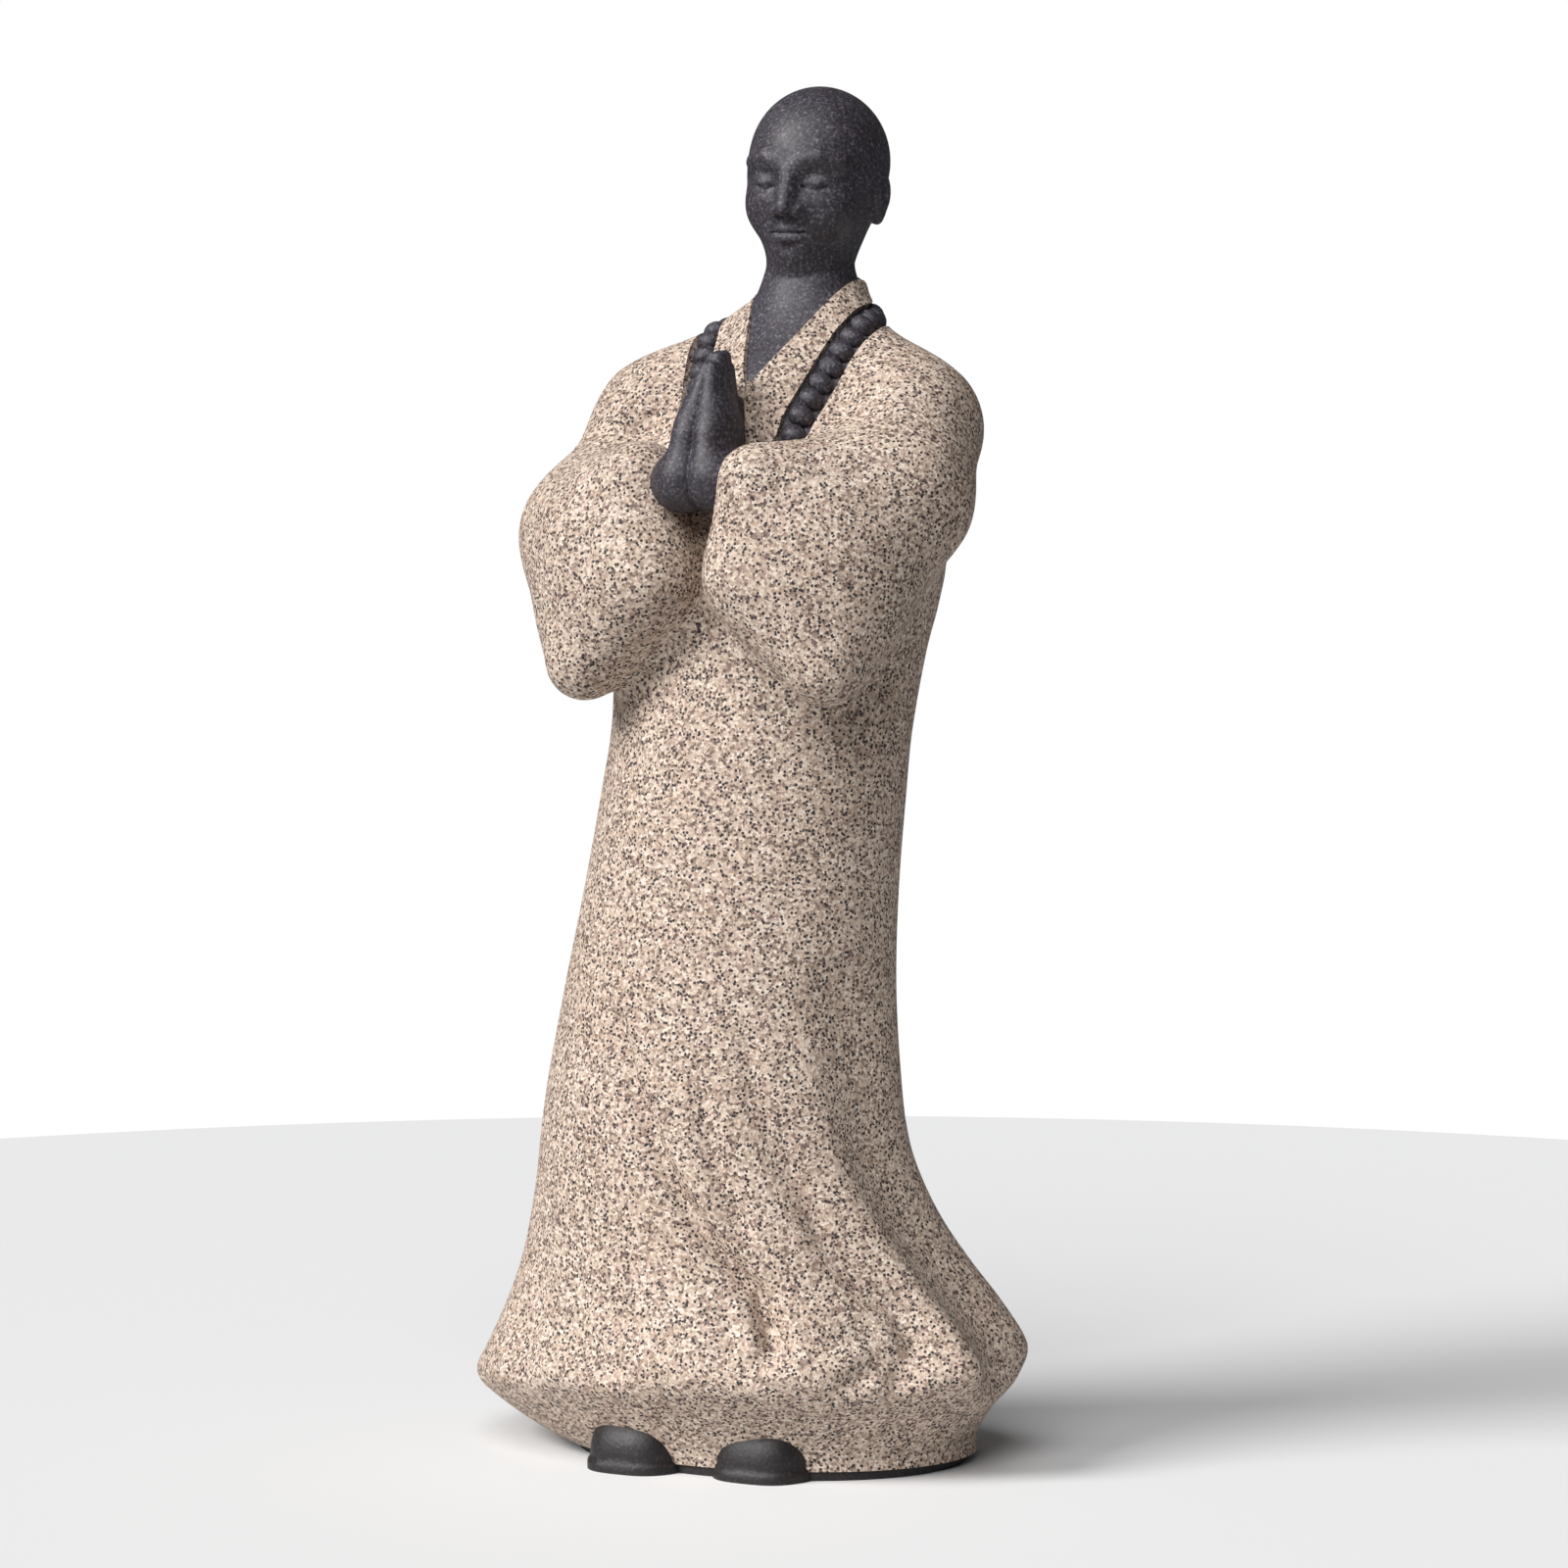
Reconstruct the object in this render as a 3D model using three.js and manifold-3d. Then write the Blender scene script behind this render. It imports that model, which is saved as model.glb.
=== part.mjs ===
// A standing monk in a wide-sleeved robe, palms pressed together before the chest, fired in one piece.
// The robe is sand glazed. The head, neck, hands, bead string, shoes and foot ring are bare dark clay.
// +Z is up, the figure faces -Y, its own left hand is at +X, and the origin is on the floor
// below the middle of its foot ring.
//
// Each form is a distance field: a function of a point that is negative inside the clay. The fields are
// meshed on a grid, thinned to the triangles that their curvature needs, and joined into one solid.
import * as THREE from "three";
import { mergeVertices } from "three/addons/utils/BufferGeometryUtils.js";
import Module from "manifold-3d";

// Driving sizes, in millimetres
const HEIGHT = 240;
const BEAD_WIDTH = 4.5;
const BEAD_PITCH = 3.7;
const BEAD_LIFT = -1.1;
const STRING_BED_WIDTH = 5.6;
const GLAZE_STEP = 1.0;
const FOOT_RING_HEIGHT = 1.6;
const FOOT_RING_INSET = 0.6;
const SOLE_THICKNESS = 2.0;
const SOLE_LIP = 0.5;

// The figure is drawn on a canon of 240 parts from sole to crown.
const PARTS_TALL = 240;
const part = HEIGHT / PARTS_TALL;
const at = (x, y, z) => [x * part, y * part, z * part];

// Blending and interpolation
const clamp01 = (t) => Math.min(1, Math.max(0, t));
const mix = (a, b, t) => a + (b - a) * t;

function smoothMin(a, b, reach) {
  const h = Math.max(reach - Math.abs(a - b), 0) / reach;
  return Math.min(a, b) - (h * h * reach) / 4;
}

const smoothMax = (a, b, reach) => -smoothMin(-a, -b, reach);

// A smooth curve through rows [z, value, value, ...], sorted by z.
function profile(rows) {
  const count = rows.length;
  const slope = (i, k) => {
    const a = rows[Math.max(i - 1, 0)];
    const b = rows[Math.min(i + 1, count - 1)];
    return (b[k] - a[k]) / (b[0] - a[0]);
  };
  return (z) => {
    const clamped = Math.min(Math.max(z, rows[0][0]), rows[count - 1][0]);
    let i = 0;
    while (i < count - 2 && rows[i + 1][0] < clamped) i++;
    const a = rows[i];
    const b = rows[i + 1];
    const span = b[0] - a[0];
    const t = (clamped - a[0]) / span;
    const values = [];
    for (let k = 1; k < a.length; k++) {
      const rise = b[k] - a[k];
      const s0 = slope(i, k) * span;
      const s1 = slope(i + 1, k) * span;
      values.push(a[k] + t * (s0 + t * (3 * rise - 2 * s0 - s1 + t * (s0 + s1 - 2 * rise))));
    }
    return values;
  };
}

// Basic forms
function ellipsoid(c, r) {
  return (x, y, z) => {
    const u = (x - c[0]) / r[0];
    const v = (y - c[1]) / r[1];
    const w = (z - c[2]) / r[2];
    const k0 = Math.hypot(u, v, w);
    const k1 = Math.hypot(u / r[0], v / r[1], w / r[2]);
    return k1 > 0 ? (k0 * (k0 - 1)) / k1 : -Math.min(...r);
  };
}

// A straight limb from a to b whose radius runs from ra to rb.
function limb(a, b, ra, rb) {
  const d = [b[0] - a[0], b[1] - a[1], b[2] - a[2]];
  const length2 = d[0] * d[0] + d[1] * d[1] + d[2] * d[2];
  return (x, y, z) => {
    const px = x - a[0];
    const py = y - a[1];
    const pz = z - a[2];
    const t = clamp01((px * d[0] + py * d[1] + pz * d[2]) / length2);
    return Math.hypot(px - t * d[0], py - t * d[1], pz - t * d[2]) - mix(ra, rb, t);
  };
}

// A bent limb through points, with one radius at each.
function strand(points, radii) {
  const limbs = points.slice(1).map((p, i) => limb(points[i], p, radii[i], radii[i + 1]));
  return (x, y, z) => Math.min(...limbs.map((f) => f(x, y, z)));
}

// A plate with rounded faces: the triangle a, b, c thickened by a radius at each corner.
function plate([a, b, c], [ra, rb, rc]) {
  const ab = [b[0] - a[0], b[1] - a[1], b[2] - a[2]];
  const ac = [c[0] - a[0], c[1] - a[1], c[2] - a[2]];
  const bb = ab[0] * ab[0] + ab[1] * ab[1] + ab[2] * ab[2];
  const bc = ab[0] * ac[0] + ab[1] * ac[1] + ab[2] * ac[2];
  const cc = ac[0] * ac[0] + ac[1] * ac[1] + ac[2] * ac[2];
  const det = bb * cc - bc * bc;
  const sides = [limb(a, b, ra, rb), limb(b, c, rb, rc), limb(c, a, rc, ra)];
  return (x, y, z) => {
    const px = x - a[0];
    const py = y - a[1];
    const pz = z - a[2];
    const pb = px * ab[0] + py * ab[1] + pz * ab[2];
    const pc = px * ac[0] + py * ac[1] + pz * ac[2];
    const u = (cc * pb - bc * pc) / det;
    const v = (bb * pc - bc * pb) / det;
    if (u < 0 || v < 0 || u + v > 1) return Math.min(...sides.map((side) => side(x, y, z)));
    const offX = px - u * ab[0] - v * ac[0];
    const offY = py - u * ab[1] - v * ac[1];
    const offZ = pz - u * ab[2] - v * ac[2];
    return Math.hypot(offX, offY, offZ) - (ra + u * (rb - ra) + v * (rc - ra));
  };
}

function blended(fields, reach) {
  return (x, y, z) => fields.reduce((d, f) => smoothMin(d, f(x, y, z), reach), Infinity);
}

// The field moved to position and turned by Euler angles in degrees.
function placed(field, position, degrees) {
  const radians = degrees.map((d) => (d * Math.PI) / 180);
  const turn = new THREE.Matrix4().makeRotationFromEuler(new THREE.Euler(...radians, "ZYX"));
  const e = turn.invert().elements;
  return (x, y, z) => {
    const px = x - position[0];
    const py = y - position[1];
    const pz = z - position[2];
    return field(
      e[0] * px + e[4] * py + e[8] * pz,
      e[1] * px + e[5] * py + e[9] * pz,
      e[2] * px + e[6] * py + e[10] * pz,
    );
  };
}

// The robe's outer profile, hem to collar: rows of z, centre x, centre y, half width and half depth.
const ROBE_FLARE = profile([
  [0, -3, -2, 60, 51],
  [8, -3, -2, 54.6, 45],
  [15, -3, -2, 50.4, 40.2],
  [21, -2, -2, 48.6, 36.8],
  [28, -2.4, -2.6, 45, 33.4],
  [35, -3.2, -4.2, 41.2, 30.6],
  [42, -4, -6, 38, 28.6],
  [49, -4.5, -7.5, 35.6, 27.2],
  [56, -4.9, -8.4, 34, 26.1],
  [66, -4.8, -8.6, 32.6, 25],
  [83, -4.2, -7.4, 30.4, 23.5],
  [100, -2.9, -5.8, 28.8, 22.5],
  [118, -1.3, -3.9, 27.8, 22],
  [128, -0.4, -2.9, 27.5, 21.8],
  [142, 0.5, -1.4, 28.8, 21.4],
  [150, 1.2, -0.4, 30, 21.2],
  [158, 1.6, 0.6, 30.6, 20.9],
  [166, 0.9, 1.6, 28.8, 20.4],
  [175, 1, 2.8, 25.6, 19.6],
  [188, 1.5, 4.6, 16.4, 17.8],
  [196, 2.7, 7, 12, 13.2],
  [203, 3.4, 9.4, 9.8, 10],
  [212, 3.8, 10.6, 9.4, 9.4],
]);

// The cloth that turns in under the hem to the foot ring, in the same rows.
const ROBE_TUCK = profile([
  [-4, 0.4, 1.2, 34.6, 27.4],
  [0, 0.5, 1.2, 37.2, 28.6],
  [4, -4.6, 1, 42, 30],
  [7.5, -6.6, 0.4, 46, 31.6],
  [11, -7.4, -0.4, 49.6, 33.4],
  [15, -6.8, -1.2, 54.2, 36],
  [21, -5.6, -1.8, 61, 39.4],
  [28, -4, -2, 66, 43.5],
  [40, -4, -2, 82, 56],
]);

const HEM_ROUNDING = 4.5 * part;

// Folds pressed into the skirt. Each path is in degrees round the robe from its front towards its left
// hand and heights; rise is positive for a ridge and negative for a groove, at the path's two ends.
const FOLDS = [
  { path: [[53, 72], [59, 60], [63, 48], [68, 39], [72, 31], [75, 19]], width: 4, rise: [0.4, 3.4] },
  { path: [[62, 78], [69, 62], [73, 49], [78, 39], [83, 31], [88, 16]], width: 5, rise: [-1.6, -5.4] },
  { path: [[60, 34], [64, 27], [66, 20]], width: 3, rise: [-0.4, -2] },
  { path: [[52, 30], [55, 23], [58, 16]], width: 5, rise: [0.2, 1.2] },
  { path: [[-8, 74], [3, 59], [10, 46]], width: 4, rise: [-1.2, -0.6] },
  { path: [[15, 64], [22, 48], [26, 34], [30, 24]], width: 3.4, rise: [-0.8, -3.2] },
  { path: [[21, 33], [21, 25]], width: 3.4, rise: [0.6, 2] },
  { path: [[14, 29], [16, 23]], width: 2.8, rise: [-0.8, -2.4] },
  { path: [[-46, 34], [-40, 22], [-38, 16]], width: 4.5, rise: [-0.4, -1.8] },
  { path: [[98, 60], [104, 40], [109, 21]], width: 9, rise: [0, 1.7] },
  { path: [[136, 60], [140, 36], [142, 20]], width: 8, rise: [-0.6, -2.6] },
  { path: [[176, 66], [180, 40], [180, 20]], width: 9, rise: [-0.5, -2.4] },
  { path: [[-130, 60], [-136, 36], [-138, 20]], width: 8, rise: [-0.6, -2.6] },
];

const DEGREE = Math.PI / 180;
const FOLD_REACH = 10 * part;
const FOLD_TOP = 90 * part;
const UNROLLED_RADIUS = 38 * part;

const foldsUnrolled = FOLDS.map(({ path, width, rise }) => ({
  path: path.map(([angle, height]) => [angle * DEGREE * UNROLLED_RADIUS, height * part]),
  start: path[0][0] * DEGREE,
  width: width * part,
  rise: rise.map((value) => value * part),
}));

// Distance from point (s, z) to a path in the unrolled skirt, and how far along the path it falls.
function alongPath(path, s, z) {
  let best = Infinity;
  let share = 0;
  for (let i = 0; i < path.length - 1; i++) {
    const ds = path[i + 1][0] - path[i][0];
    const dz = path[i + 1][1] - path[i][1];
    const t = clamp01(((s - path[i][0]) * ds + (z - path[i][1]) * dz) / (ds * ds + dz * dz));
    const away = Math.hypot(s - path[i][0] - t * ds, z - path[i][1] - t * dz);
    if (away < best) {
      best = away;
      share = (i + t) / (path.length - 1);
    }
  }
  return [best, share];
}

// How far the folds lift the cloth at an angle round the robe and a height.
function foldLift(angle, z) {
  let lift = 0;
  for (const { path, start, width, rise } of foldsUnrolled) {
    const nearest = angle + 2 * Math.PI * Math.round((start - angle) / (2 * Math.PI));
    const [away, share] = alongPath(path, nearest * UNROLLED_RADIUS, z);
    if (away < 3 * width) lift += mix(rise[0], rise[1], share) * Math.exp(-((away / width) ** 2));
  }
  return lift;
}

// An upright column whose elliptical sections follow a profile, with an optional lift of its surface.
function column(sections, lift) {
  return (x, y, z) => {
    const section = sections(z / part);
    const cx = section[0] * part;
    const cy = section[1] * part;
    const rx = section[2] * part;
    const ry = section[3] * part;
    const u = (x - cx) / rx;
    const v = (y - cy) / ry;
    const k0 = Math.hypot(u, v);
    const k1 = Math.hypot(u / rx, v / ry);
    const d = k1 > 0 ? (k0 * (k0 - 1)) / k1 : -Math.min(rx, ry);
    if (!lift || z > FOLD_TOP || Math.abs(d) > FOLD_REACH) return d;
    return d - lift(Math.atan2(u, -v), z);
  };
}

// Sleeves: an upper arm, a forearm and the cloth that hangs from it to a rounded point. The right elbow
// hangs lower, and the right cuff is pushed back so that the heel of the hand stands before it.
const UPPER_ARM_BLEND = 8 * part;
const FOREARM_BLEND = 8 * part;
const ELBOW_BLEND = 7 * part;
const ARMPIT_BLEND = 5 * part;

function sleeveThrough({ neckSide, shoulder, elbow, cuffTop, cuffLow, tip, belly }) {
  const upper = blended(
    [limb(neckSide, shoulder, 8.8 * part, 11.6 * part), limb(shoulder, elbow, 11.6 * part, 11 * part)],
    UPPER_ARM_BLEND,
  );
  const lower = blended(
    [
      plate([elbow, cuffTop, cuffLow], [10.8 * part, 7.6 * part, 7.2 * part]),
      plate([elbow, cuffLow, tip], [10.8 * part, 7.2 * part, 6.6 * part]),
      ellipsoid(belly, at(13.4, 14, 17)),
    ],
    FOREARM_BLEND,
  );
  return (x, y, z) => smoothMin(upper(x, y, z), lower(x, y, z), ELBOW_BLEND);
}

const leftSleeve = sleeveThrough({
  neckSide: at(9, 8.4, 194),
  shoulder: at(23.8, 5, 180),
  elbow: at(27.8, -7, 168.4),
  cuffTop: at(11.4, -25.6, 170.4),
  cuffLow: at(10.6, -25.4, 155),
  tip: at(23.6, -24.6, 139.8),
  belly: at(20.4, -17.4, 156.5),
});
const rightSleeve = sleeveThrough({
  neckSide: at(6.6, 8.4, 193),
  shoulder: at(23.2, 5, 180),
  elbow: at(29.6, -9.6, 161.2),
  cuffTop: at(13, -23, 170.6),
  cuffLow: at(10.6, -25, 155),
  tip: at(23.6, -24.6, 139.8),
  belly: at(21, -17, 156),
});
const sleeves = (x, y, z) => (x > 0 ? leftSleeve(x, y, z) : rightSleeve(-x, y, z));

const torso = column(ROBE_FLARE, foldLift);
const tuck = column(ROBE_TUCK);

const SLEEVES_FROM = 120 * part;
const TUCK_TO = 60 * part;

function gown(x, y, z) {
  const body = torso(x, y, z);
  if (z < TUCK_TO) return smoothMax(body, tuck(x, y, z), HEM_ROUNDING);
  if (z < SLEEVES_FROM) return body;
  return smoothMin(body, sleeves(x, y, z), ARMPIT_BLEND);
}

// The robe between a level just under the floor and one just over the collar.
const ROBE_LOW = -2 * part;
const ROBE_HIGH = 211 * part;
const closedGown = (x, y, z) => Math.max(gown(x, y, z), ROBE_LOW - z, z - ROBE_HIGH);

// The neckline: a V down the chest that rises to a standing collar behind the neck.
const V_POINT = at(2.4, -14, 187);
const V_STEEPNESS = 1.92;
const COLLAR_BACK_Y = 17 * part;
const COLLAR_BACK_Z = 207 * part;

// The clay body shows wherever the glaze is cut back: in the neckline and beside the beads.
const NECK_BASE = at(1.2, 5.5, 190);
const NECK_TOP = at(3, 11, 214);
const CHEST_TOP = 203.5 * part;
const CHEST_TOP_SLOPE = 0.2;
const NECK_BLEND = 4 * part;
const CHEST_LOW = 168 * part;
const CHEST_FRONT = -24 * part;
const CHEST_SIDE = 23 * part;

const neck = limb(NECK_BASE, NECK_TOP, 8.2 * part, 7.4 * part);

function chest(x, y, z) {
  const top = z - CHEST_TOP - CHEST_TOP_SLOPE * y;
  const skin = smoothMax(gown(x, y, z) + GLAZE_STEP, top, NECK_BLEND);
  const form = smoothMin(skin, neck(x, y, z), NECK_BLEND);
  return Math.max(form, CHEST_LOW - z, CHEST_FRONT - y, Math.abs(x) - CHEST_SIDE);
}

// The head, drawn about its own centre with the face towards -Y.
const HEAD_CENTRE = at(2.8, 11.4, 223.1);
const HEAD_SCALE = 1.06;
const HEAD_TURN = [4, 2, 5];

const skull = ellipsoid(at(0, 1.7, 3.6), at(11.5, 13.1, 12.4));
const jaw = ellipsoid(at(0, -2.4, -4.6), at(8.8, 9.2, 10.4));
const chin = ellipsoid(at(0, -8.3, -11.8), at(3.2, 2.8, 2.6));
const cheek = ellipsoid(at(5.4, -7.2, -3.6), at(3.3, 3, 3.6));
const muzzle = ellipsoid(at(0, -9.4, -7.8), at(4.2, 2.5, 3.2));
const eyeSocket = ellipsoid(at(4.4, -13.6, 0.9), at(3.1, 2.3, 2));
const eyelid = ellipsoid(at(4.3, -9.3, 0.4), at(2.6, 2.2, 1.8));
const brow = strand([at(2.2, -11.4, 4.2), at(4.8, -10.9, 4.9), at(7.8, -8.8, 3.8)], at(0.6, 0.7, 0.45));
const nose = limb(at(0, -11.7, 2.6), at(0, -13.8, -3.5), 0.9 * part, 1.35 * part);
const noseWing = ellipsoid(at(1.7, -12.6, -4), at(1, 1.2, 0.95));
const upperLip = strand([at(0, -12, -7.1), at(1.3, -11.9, -6.9), at(3.1, -10.9, -7.5)], at(0.55, 0.6, 0.3));
const lowerLip = strand([at(0, -11.8, -8.6), at(1.3, -11.6, -8.5), at(2.7, -10.9, -8)], at(0.75, 0.65, 0.3));
const lipHollow = ellipsoid(at(0, -13, -10.2), at(2.2, 1.4, 0.8));
const ear = ellipsoid(at(11, 1.8, -1.2), at(1.4, 2.4, 3.6));
const earLobe = ellipsoid(at(10.5, 1.2, -4.8), at(1.2, 1.5, 1.8));
const earHollow = ellipsoid(at(12.5, 1, -0.8), at(1, 1.1, 1.9));

function headShape(x, y, z) {
  const side = Math.abs(x);
  const lips = Math.min(upperLip(side, y, z), lowerLip(side, y, z));
  let d = smoothMin(skull(x, y, z), jaw(x, y, z), 6 * part);
  d = smoothMin(d, chin(x, y, z), 3 * part);
  d = smoothMin(d, cheek(side, y, z), 3 * part);
  d = smoothMin(d, muzzle(x, y, z), 2.5 * part);
  d = smoothMax(d, -eyeSocket(side, y, z), 2.2 * part);
  d = smoothMin(d, brow(side, y, z), 2.4 * part);
  d = smoothMin(d, smoothMin(nose(x, y, z), noseWing(side, y, z), 0.8 * part), 1.5 * part);
  d = smoothMin(d, eyelid(side, y, z), 0.7 * part);
  d = smoothMin(d, lips, 0.7 * part);
  d = smoothMax(d, -lipHollow(x, y, z), 1.2 * part);
  d = smoothMin(d, smoothMin(ear(side, y, z), earLobe(side, y, z), part), 0.8 * part);
  return smoothMax(d, -earHollow(side, y, z), 0.5 * part);
}

const headForm = (x, y, z) => headShape(x / HEAD_SCALE, y / HEAD_SCALE, z / HEAD_SCALE) * HEAD_SCALE;
const head = placed(headForm, HEAD_CENTRE, HEAD_TURN);
const headAndNeck = (x, y, z) => smoothMin(head(x, y, z), neck(x, y, z), 2.4 * part);

// One of the two hands pressed together on the plane x = 0, in its own frame: the heel of the palm at
// the origin, the fingers rising along Z, and the thumb on the chest side, towards +Y.
const HAND_HEEL = at(0.3, -26.8, 167.4);
const HAND_SCALE = 1.06;
const HAND_LEAN = -16;
const FINGERS = [
  { root: [1.5, 3.2, 11.5], tip: [0.8, 2.2, 23.6], radii: [1.75, 1.05] },
  { root: [1.6, 1, 11.5], tip: [0.8, 0.8, 25.6], radii: [1.8, 1.1] },
  { root: [1.6, -1.2, 11.5], tip: [0.8, -0.6, 24.4], radii: [1.8, 1.05] },
  { root: [1.5, -3.2, 11], tip: [0.7, -1.8, 21.4], radii: [1.65, 0.95] },
];

function handForm(x, y, z) {
  const side = Math.abs(x);
  const palm = ellipsoid(at(2.1, 0, 9.5), at(3.4, 5.8, 8.8))(side, y, z);
  const heel = ellipsoid(at(3, -0.6, 3.4), at(4.2, 5.2, 4.4))(side, y, z);
  const wrist = limb(at(3, -0.5, 3.6), at(9, 2.5, 3.6), 4 * part, 4 * part)(side, y, z);
  let d = smoothMin(smoothMin(palm, heel, 3 * part), wrist, 2.5 * part);
  let fingers = Infinity;
  for (const { root, tip, radii } of FINGERS) {
    const finger = limb(at(...root), at(...tip), radii[0] * part, radii[1] * part)(side, y, z);
    fingers = smoothMin(fingers, finger, 0.35 * part);
  }
  d = smoothMin(d, fingers, 1.6 * part);
  const thumb = strand([at(2, 4.6, 6), at(1.7, 6.2, 12), at(1.3, 5.6, 18.5)], at(1.9, 1.6, 1.2));
  d = smoothMin(d, thumb(side, y, z), 0.7 * part);
  return smoothMax(d, -side - 0.2 * part, 0.6 * part);
}

const scaledHands = (x, y, z) => handForm(x / HAND_SCALE, y / HAND_SCALE, z / HAND_SCALE) * HAND_SCALE;
const hands = placed(scaledHands, HAND_HEEL, [HAND_LEAN, 0, 0]);

// The shoes: a domed upper on a sole that stands out a little all round.
const SHOE_MIDDLE_X = -0.8 * part;
const SHOE_X = 11.6 * part;
const SHOE_Y = -16.8 * part;
const SHOE_HALF_WIDTH = 8.6 * part;
const SHOE_HALF_LENGTH = 14.8 * part;
const SHOE_DOME = 8.2 * part;

function shoes(x, y, z) {
  const across = Math.abs(Math.abs(x - SHOE_MIDDLE_X) - SHOE_X);
  const along = Math.abs(y - SHOE_Y);
  const plan = (rx, ry) => ((across / rx) ** 3 + (along / ry) ** 3) ** (1 / 3);
  const upperPlan = plan(SHOE_HALF_WIDTH, SHOE_HALF_LENGTH);
  const rise = Math.max(z - SOLE_THICKNESS, 0) / SHOE_DOME;
  const upper = ((upperPlan ** 2.5 + rise ** 2.5) ** 0.4 - 1) * SHOE_HALF_WIDTH;
  const rim = (plan(SHOE_HALF_WIDTH + SOLE_LIP, SHOE_HALF_LENGTH + SOLE_LIP) - 1) * SHOE_HALF_WIDTH;
  const sole = smoothMax(rim, z - SOLE_THICKNESS, 0.8 * part);
  return Math.max(Math.min(upper, sole), -z - part);
}

// The bead string: points on the robe at the figure's left, from behind the neck down to the chest.
const STRING_POINTS = [
  [0, 20, 203.5], [6, 18.8, 203.2], [11, 16, 202], [14.2, 11.5, 200], [14.8, 5.5, 197.2], [14.4, 1, 194.3],
  [13.8, -3.6, 191], [13.2, -7.2, 187.6], [12.6, -9.8, 184.7], [12, -12.3, 181.9], [11.2, -15.5, 178.2],
  [10, -19, 174],
];
const STRING_MIDDLE_X = 0.6;
const STRING_LOW = [STRING_MIDDLE_X, -20, 171];

const CLOSE_ENOUGH = 0.02 * part;

// The nearest point of a field's surface to p, stepping along the field's slope.
function settle(field, p) {
  let [x, y, z] = p;
  const h = 0.05 * part;
  for (let i = 0; i < 4; i++) {
    const d = field(x, y, z);
    if (Math.abs(d) < CLOSE_ENOUGH) break;
    const g = slopeOf(field, x, y, z, h);
    const steep = Math.max(g[0] * g[0] + g[1] * g[1] + g[2] * g[2], 0.2);
    x -= (d * g[0]) / steep;
    y -= (d * g[1]) / steep;
    z -= (d * g[2]) / steep;
  }
  return [x, y, z];
}

function slopeOf(field, x, y, z, h) {
  return [
    (field(x + h, y, z) - field(x - h, y, z)) / (2 * h),
    (field(x, y + h, z) - field(x, y - h, z)) / (2 * h),
    (field(x, y, z + h) - field(x, y, z - h)) / (2 * h),
  ];
}

// Meshing: a grid is laid over the box, and blocks that the surface can't reach are left out.
const BLOCK = 6;
const REACH_ALLOWANCE = 1.7;

const CORNERS = [[0, 0, 0], [1, 0, 0], [0, 1, 0], [1, 1, 0], [0, 0, 1], [1, 0, 1], [0, 1, 1], [1, 1, 1]];
const EDGES = [[0, 1], [2, 3], [4, 5], [6, 7], [0, 2], [1, 3], [4, 6], [5, 7], [0, 4], [1, 5], [2, 6], [3, 7]];
const FACES = [[0, 2, 6, 4], [1, 3, 7, 5], [0, 1, 5, 4], [2, 3, 7, 6], [0, 1, 3, 2], [4, 5, 7, 6]];
const edgeBetween = (a, b) => EDGES.findIndex((edge) => edge.includes(a) && edge.includes(b));

// For each set of corners inside the form, which patch of surface each of a cell's 12 edges belongs to.
const PATCHES = Array.from({ length: 256 }, (_, inside) => {
  const isIn = (corner) => (inside >> corner) & 1;
  const patch = EDGES.map(([a, b], edge) => (isIn(a) === isIn(b) ? -1 : edge));
  const join = (e, f) => {
    const from = patch[f];
    patch.forEach((p, n) => {
      if (p === from) patch[n] = patch[e];
    });
  };
  for (const face of FACES) {
    const around = face.map((corner, n) => edgeBetween(corner, face[(n + 1) % 4]));
    const crossed = around.filter((edge) => patch[edge] >= 0);
    if (crossed.length === 2) join(...crossed);
    if (crossed.length < 4) continue;
    face.forEach((corner, n) => {
      if (isIn(corner)) join(around[n], around[(n + 3) % 4]);
    });
  }
  const names = [...new Set(patch.filter((p) => p >= 0))];
  return patch.map((p) => names.indexOf(p));
});

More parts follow.
